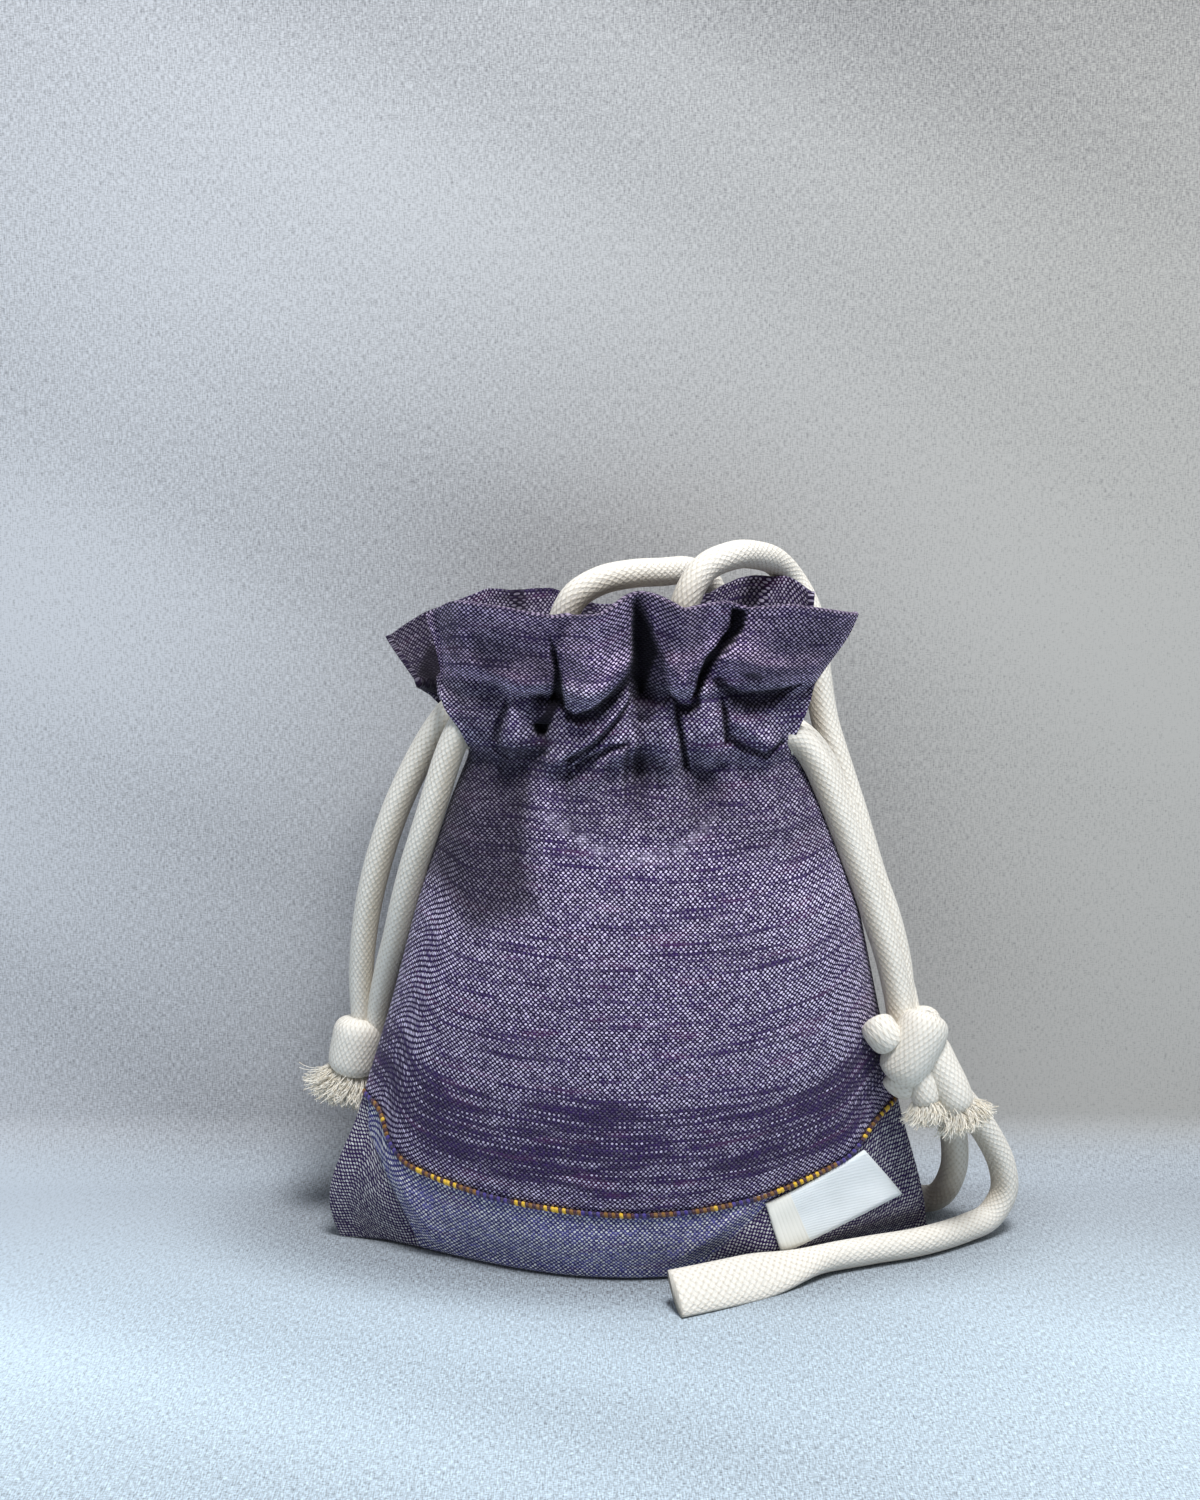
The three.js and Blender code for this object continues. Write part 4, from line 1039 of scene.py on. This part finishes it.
base = base_points()
ears = np.maximum(beyond(base, LEFT_EAR_LINE, -1), beyond(base, RIGHT_EAR_LINE, 1))
fall = np.cumsum(np.linalg.norm(np.diff(base, axis=0), axis=2), axis=0)
fall = np.concatenate([np.zeros((1, base.shape[1])), fall])
base_flat = np.stack([base[..., 0], fall - fall[-1]], -1)
base_cloth = cloth_sheet("base_cloth", base, base_flat, base_cotton, ear=ears)
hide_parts("base_panel")
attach(base_cloth, "bag")


# Lining
# A bag of plain pale cotton that hangs inside the pouch from the casing, seen only through the mouth. It
# follows the pouch's walls a little way in, and its floor is drawn together in the middle.
LINING_ROWS = 40
LINING_COLUMNS = 96
LINING_FOOT_Z = 3.2
lining_cotton = slub_weave("lining_cotton", (0.38, 0.34, 0.46), (0.74, 0.70, 0.80), cover=0.3)


def lining_points():
    """Rings of the lining's points, from the middle of its floor up to the neck."""
    turn = np.linspace(0, 2 * math.pi, LINING_COLUMNS + 1)
    rows = []
    for k in np.linspace(0, 1, LINING_ROWS):
        z = LINING_FOOT_Z + (WALL_TOP_Z - LINING_FOOT_Z) * k
        t = z / WALL_TOP_Z
        width = 78 + (46 - 78) * t - 7.5 * t ** 6 - (10 + (2.4 - 10) * t) - 3
        depth, lens = wall_profile(t)
        depth = depth - 1.6 - 7 * ramp(t, 0.5, 0.85)
        bow = np.abs(np.cos(turn)) ** (2 * lens) * np.sign(np.cos(turn))
        rows.append(np.stack([width * np.sin(turn), -depth * bow, np.full_like(turn, z)], -1))
    floor = [rows[0] * (shrink, shrink, 1) for shrink in (0.02, 0.35, 0.7, 0.95)]
    return np.array(floor + rows)


lining = lining_points()
lining_cloth = cloth_sheet("lining_cloth", lining, lining[..., (0, 2)], lining_cotton, thick=0.6)
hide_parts("lining")
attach(lining_cloth, "bag")


# Trim
# A woven line of thick dyed cotton yarns in the seam between front and base: short floats side by side, whose
# colours follow the order that the photograph shows from left to right.
FLOAT_LENGTH = 0.92
FLOAT_HEIGHT = 1.8
FLOAT_DEPTH = 1.0
FLOAT_SEGMENTS, FLOAT_RINGS = 10, 7
TRIM_COLOURS = {
    "y": (0.80, 0.50, 0.03),  # yellow
    "o": (0.24, 0.11, 0.02),  # ochre
    "m": (0.06, 0.014, 0.03),  # maroon
    "v": (0.05, 0.032, 0.24),  # violet
    "d": (0.014, 0.008, 0.06),  # dark violet
}
TRIM_ORDER = ("omvdvdmomomoymomovdvdvdmomomomyymomymymyymymomomovdvdvdvdvdmymymomomymyymymomo"
              "vdvdvmomomymomvdvdmomom")


def float_yarn(name):
    """Thick dyed yarn, one colour for each float, with its twist."""
    finish = Finish(name, roughness=0.7, sheen=0.1)
    number = finish.attribute("dye")
    first, *others = TRIM_COLOURS.values()
    colour = finish.mix(0.0, first, first)
    for k, other in enumerate(others, 1):
        colour = finish.mix(number.step(k - 0.6, k - 0.4), colour, other)
    twist = finish.node("ShaderNodeTexNoise", {}, {"Vector": finish.place(), "Scale": 2200.0, "Detail": 1.0})
    finish.colour(finish.mix(twist.step(0.3, 0.9) * 0.14, colour, (0.9, 0.8, 0.7)))
    finish.bump(twist, 0.0002)
    return finish.material


def trim_tree(material):
    """Rounded floats of yarn, side by side along the line of the seam."""
    sizes = ("Float length", "Float height", "Float depth")
    tree, given, made = nodes_group("trim_floats", sizes)
    length, height, depth = (given.outputs[key] for key in sizes)
    ball = put(tree, "GeometryNodeMeshUVSphere",
               {"Segments": FLOAT_SEGMENTS, "Rings": FLOAT_RINGS, "Radius": 0.5})
    overlap = put(tree, "ShaderNodeMath", {0: length, 1: 1.35}, operation="MULTIPLY")
    scale = put(tree, "ShaderNodeCombineXYZ", {"X": depth, "Y": height, "Z": overlap})
    line = put(tree, "GeometryNodeMeshToCurve", {"Mesh": given.outputs[0]})
    spots = put(tree, "GeometryNodeCurveToPoints", {"Curve": line, "Length": length}, mode="LENGTH")
    lay = {"Rotation": spots.node.outputs["Rotation"], "Rotate By": (0.45, 0, 0)}
    slant = put(tree, "FunctionNodeRotateRotation", lay, rotation_space="LOCAL")
    laid = put(tree, "GeometryNodeInstanceOnPoints",
               {"Points": spots, "Instance": ball, "Rotation": slant, "Scale": scale})
    return one_mesh(tree, made, laid, material)


seam = smooth_route(front[0, 6:-6:4] + (0, -0.55, 0.1), 0.5) * MM
seam_line = source_object("trim_line", seam.tolist(), [(k, k + 1) for k in range(len(seam) - 1)], [])
trim_floats = grown("trim_floats", seam_line, trim_tree(float_yarn("trim_yarn")), {
    "Float length": FLOAT_LENGTH * MM, "Float height": FLOAT_HEIGHT * MM, "Float depth": FLOAT_DEPTH * MM})
float_points = FLOAT_SEGMENTS * (FLOAT_RINGS - 1) + 2
floats = np.arange(len(trim_floats.data.vertices)) // float_points
dyes = [list(TRIM_COLOURS).index(TRIM_ORDER[k % len(TRIM_ORDER)]) for k in floats]
trim_floats.data.attributes.new("dye", "FLOAT", "POINT").data.foreach_set("value", np.array(dyes, np.float32))
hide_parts("trim")
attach(trim_floats, "bag")


# Label
# A bare strip of cream twill tape laid across the lower right corner of the base cloth, its left end folded
# under and its middle standing a little off the cloth.
LABEL_CORNERS = [(33.4, 18.6), (58.8, 27.6), (69, 14.6), (37.6, 5.0)]
LABEL_THICK = 0.7


def twill_tape(name):
    """Cream twill: slanting ribs, and plain ribs along the folded end."""
    finish = Finish(name, roughness=0.85, sheen=0.1)
    u, v = finish.flat("Cloth")
    slant = ((u + v) / 0.62).fract() - 0.5
    rib = (u / 0.95).fract() - 0.5
    folded = 1 - u.step(-8.2, -7.9)
    height = (1 - slant * slant * 4) * (1 - folded) + (1 - rib * rib * 4) * folded
    soil = finish.noise(u * 0.12, v * 0.12)
    # Painted shade: the tape is darker in the grooves between its ribs; the rest of the change in tone is
    # random.
    tone = finish.mix((height * 0.3 + soil * 0.7).step(0.15, 0.8), (0.80, 0.85, 0.87), (0.90, 0.95, 0.98))
    finish.colour(finish.mix(folded * 0.8, tone, (0.90, 0.88, 0.80)))
    finish.bump(height, 0.00006)
    return finish.material


def front_depth(x, z):
    """How far the base cloth stands out at a place on its front."""
    face = base[base[..., 1] < -0.5]
    gap = (face[:, 0] - x) ** 2 + (face[:, 2] - z) ** 2
    near = np.argsort(gap)[:6]
    weight = 1 / (gap[near] + 0.3)
    return float((face[near, 1] * weight).sum() / weight.sum())


top_left, top_right, low_right, low_left = [np.array(c, float) for c in LABEL_CORNERS]
grid = []
for across in np.linspace(0, 1, 14):
    for along in np.linspace(0, 1, 34):
        x, z = ((top_left * (1 - along) + top_right * along) * across
                + (low_left * (1 - along) + low_right * along) * (1 - across))
        lift = 0.9 + 0.5 * math.sin(math.pi * along) * math.sin(math.pi * across)
        grid.append((x, front_depth(x, z) - lift, z))
grid = np.array(grid).reshape(14, 34, 3)
flat = np.stack(np.meshgrid(np.linspace(-15, 15, grid.shape[1]), np.linspace(0, 16.5, grid.shape[0])), -1)
label_tape = cloth_sheet("label_tape", grid, flat, twill_tape("label_tape"), thick=LABEL_THICK)
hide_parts("label")
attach(label_tape, "bag")


# Stage
# One pale cotton cloth that lies as the floor and turns up into a wall close behind the pouch, under a dim sky
# and one broad window light from above. Its colour holds painted light and shade: painted shadow where the
# pouch keeps the light off it, painted shade at the foot and top of the wall, towards the right of the floor
# and in soft creases, and a floor painted lighter and bluer than the wall.
FLOOR_REACH = 1.5
WALL_PLACE = 0.047
WALL_BEND = 0.016
# The floor is lighter and bluer than the wall as painted light from above; the far floor by the wall is painted
# shade.
FLOOR_COLOUR = (0.68, 0.83, 0.95)
FAR_FLOOR_SHADE_COLOUR = (0.455, 0.515, 0.58)
WALL_COLOUR = (0.63, 0.65, 0.69)
WARM_WALL_COLOUR = (0.50, 0.492, 0.472)
BACKDROP_SHADE = (0.10, 0.10, 0.11)
SKY_COLOUR = (0.97, 0.98, 1.0)
LAMP_PLACE = np.array((0.12, -0.38, 0.98))
LAMP_AIM = np.array((0, -0.01, 0.1))
LAMP_SIZE = 0.34
LAMP_POWER = 11.0


def backdrop_cloth(name):
    """Plain pale cotton with a fine weave and painted shade. From behind it is clear, so that rear views and
    light pass.
    """
    finish = Finish(name, roughness=1.0)
    x, y, z = finish.axes(finish.place(), "XYZ")
    along = (y + z) * 1000.0
    across = x * 1000.0
    weave = ((across / 0.9).floor() + (along / 0.8).floor()) * 0.5
    threads = finish.noise(across * 0.9, along * 3.4) + finish.noise(across * 3.2, along * 0.5)
    crease = finish.noise(across * 0.004 + along * 0.006, along * 0.003)
    wall = finish.mix(x.step(-0.15, 0.15), WALL_COLOUR, WARM_WALL_COLOUR)
    floor = finish.mix(y.step(-0.08, 0.03), FLOOR_COLOUR, FAR_FLOOR_SHADE_COLOUR)
    tone = finish.mix(z.step(0.0, 0.018), floor, wall)
    # Masks for painted shadow: beside the pouch on the wall, and under it on the floor.
    beside = (((x + 0.03) / 0.12) ** 2 + ((z - 0.07) / 0.13) ** 2) ** 0.5
    under = ((x / 0.10) ** 2 + ((y - 0.012) / 0.05) ** 2) ** 0.5 + z * 60.0
    # The weave and threads are the cloth's own; the creases, the top of the wall, the floor towards the right
    # and the pouch's shadows are painted shade.
    shade = 0.10 * weave.fract() + 0.95 * (threads - 1.0) + 0.8 * (crease - 0.5)
    shade = shade + 0.50 * z.step(0.14, 0.44) + 0.34 * x.step(-0.15, 0.2) * (1 - z.step(0, 0.02))
    shade = shade + 0.23 * (1 - beside.step(0.5, 1.5)) + 0.30 * (1 - under.step(0.8, 1.25))
    finish.colour(finish.mix(shade.most(0.0), tone, BACKDROP_SHADE))
    behind = finish.node("ShaderNodeNewGeometry", {}, {}, "Backfacing")
    clear = finish.node("ShaderNodeBsdfTransparent", {}, {})
    surface = Value(finish, finish.shader.outputs[0])
    shown = finish.node("ShaderNodeMixShader", {}, [1 - behind, clear, surface])
    finish.tree.links.new(shown.socket, finish.tree.nodes["Material Output"].inputs["Surface"])
    return finish.material


profile = [(-FLOOR_REACH, 0.0)]
profile += [(WALL_PLACE - WALL_BEND + WALL_BEND * math.sin(a), WALL_BEND - WALL_BEND * math.cos(a))
            for a in np.linspace(0, math.pi / 2, 24)]
profile += [(WALL_PLACE, FLOOR_REACH)]
sweep_points = [(x / MM, y / MM, z / MM - 0.05) for x in (-FLOOR_REACH, FLOOR_REACH) for y, z in profile]
count = len(profile)
sweep_faces = [(k, count + k, count + k + 1, k + 1) for k in range(count - 1)]
backdrop = plain_mesh("backdrop", sweep_points, sweep_faces, backdrop_cloth("backdrop_cloth"))

world = bpy.data.worlds.new("studio")
bpy.context.scene.world = world
world.use_nodes = True
sky = world.node_tree
aim = sky.nodes.new("ShaderNodeTexCoord")
parts = sky.nodes.new("ShaderNodeSeparateXYZ")
rise = sky.nodes.new("ShaderNodeMapRange")
for key, value in {"From Min": -0.1, "From Max": 1.0, "To Min": 0.14, "To Max": 0.44}.items():
    rise.inputs[key].default_value = value
sky.links.new(aim.outputs["Generated"], parts.inputs[0])
sky.links.new(parts.outputs["Z"], rise.inputs["Value"])
sky.links.new(rise.outputs[0], sky.nodes["Background"].inputs["Strength"])
sky.nodes["Background"].inputs["Color"].default_value = (*SKY_COLOUR, 1)

lamp_data = bpy.data.lights.new("window_light", "AREA")
lamp_data.shape = "DISK"
lamp_data.size = LAMP_SIZE
lamp_data.energy = LAMP_POWER
lamp = bpy.data.objects.new("window_light", lamp_data)
lamp.location = LAMP_PLACE
way = LAMP_AIM - LAMP_PLACE
lamp.rotation_euler = (math.acos(-way[2] / np.linalg.norm(way)), 0, math.atan2(way[0], -way[1]) + math.pi)
bpy.context.scene.collection.objects.link(lamp)
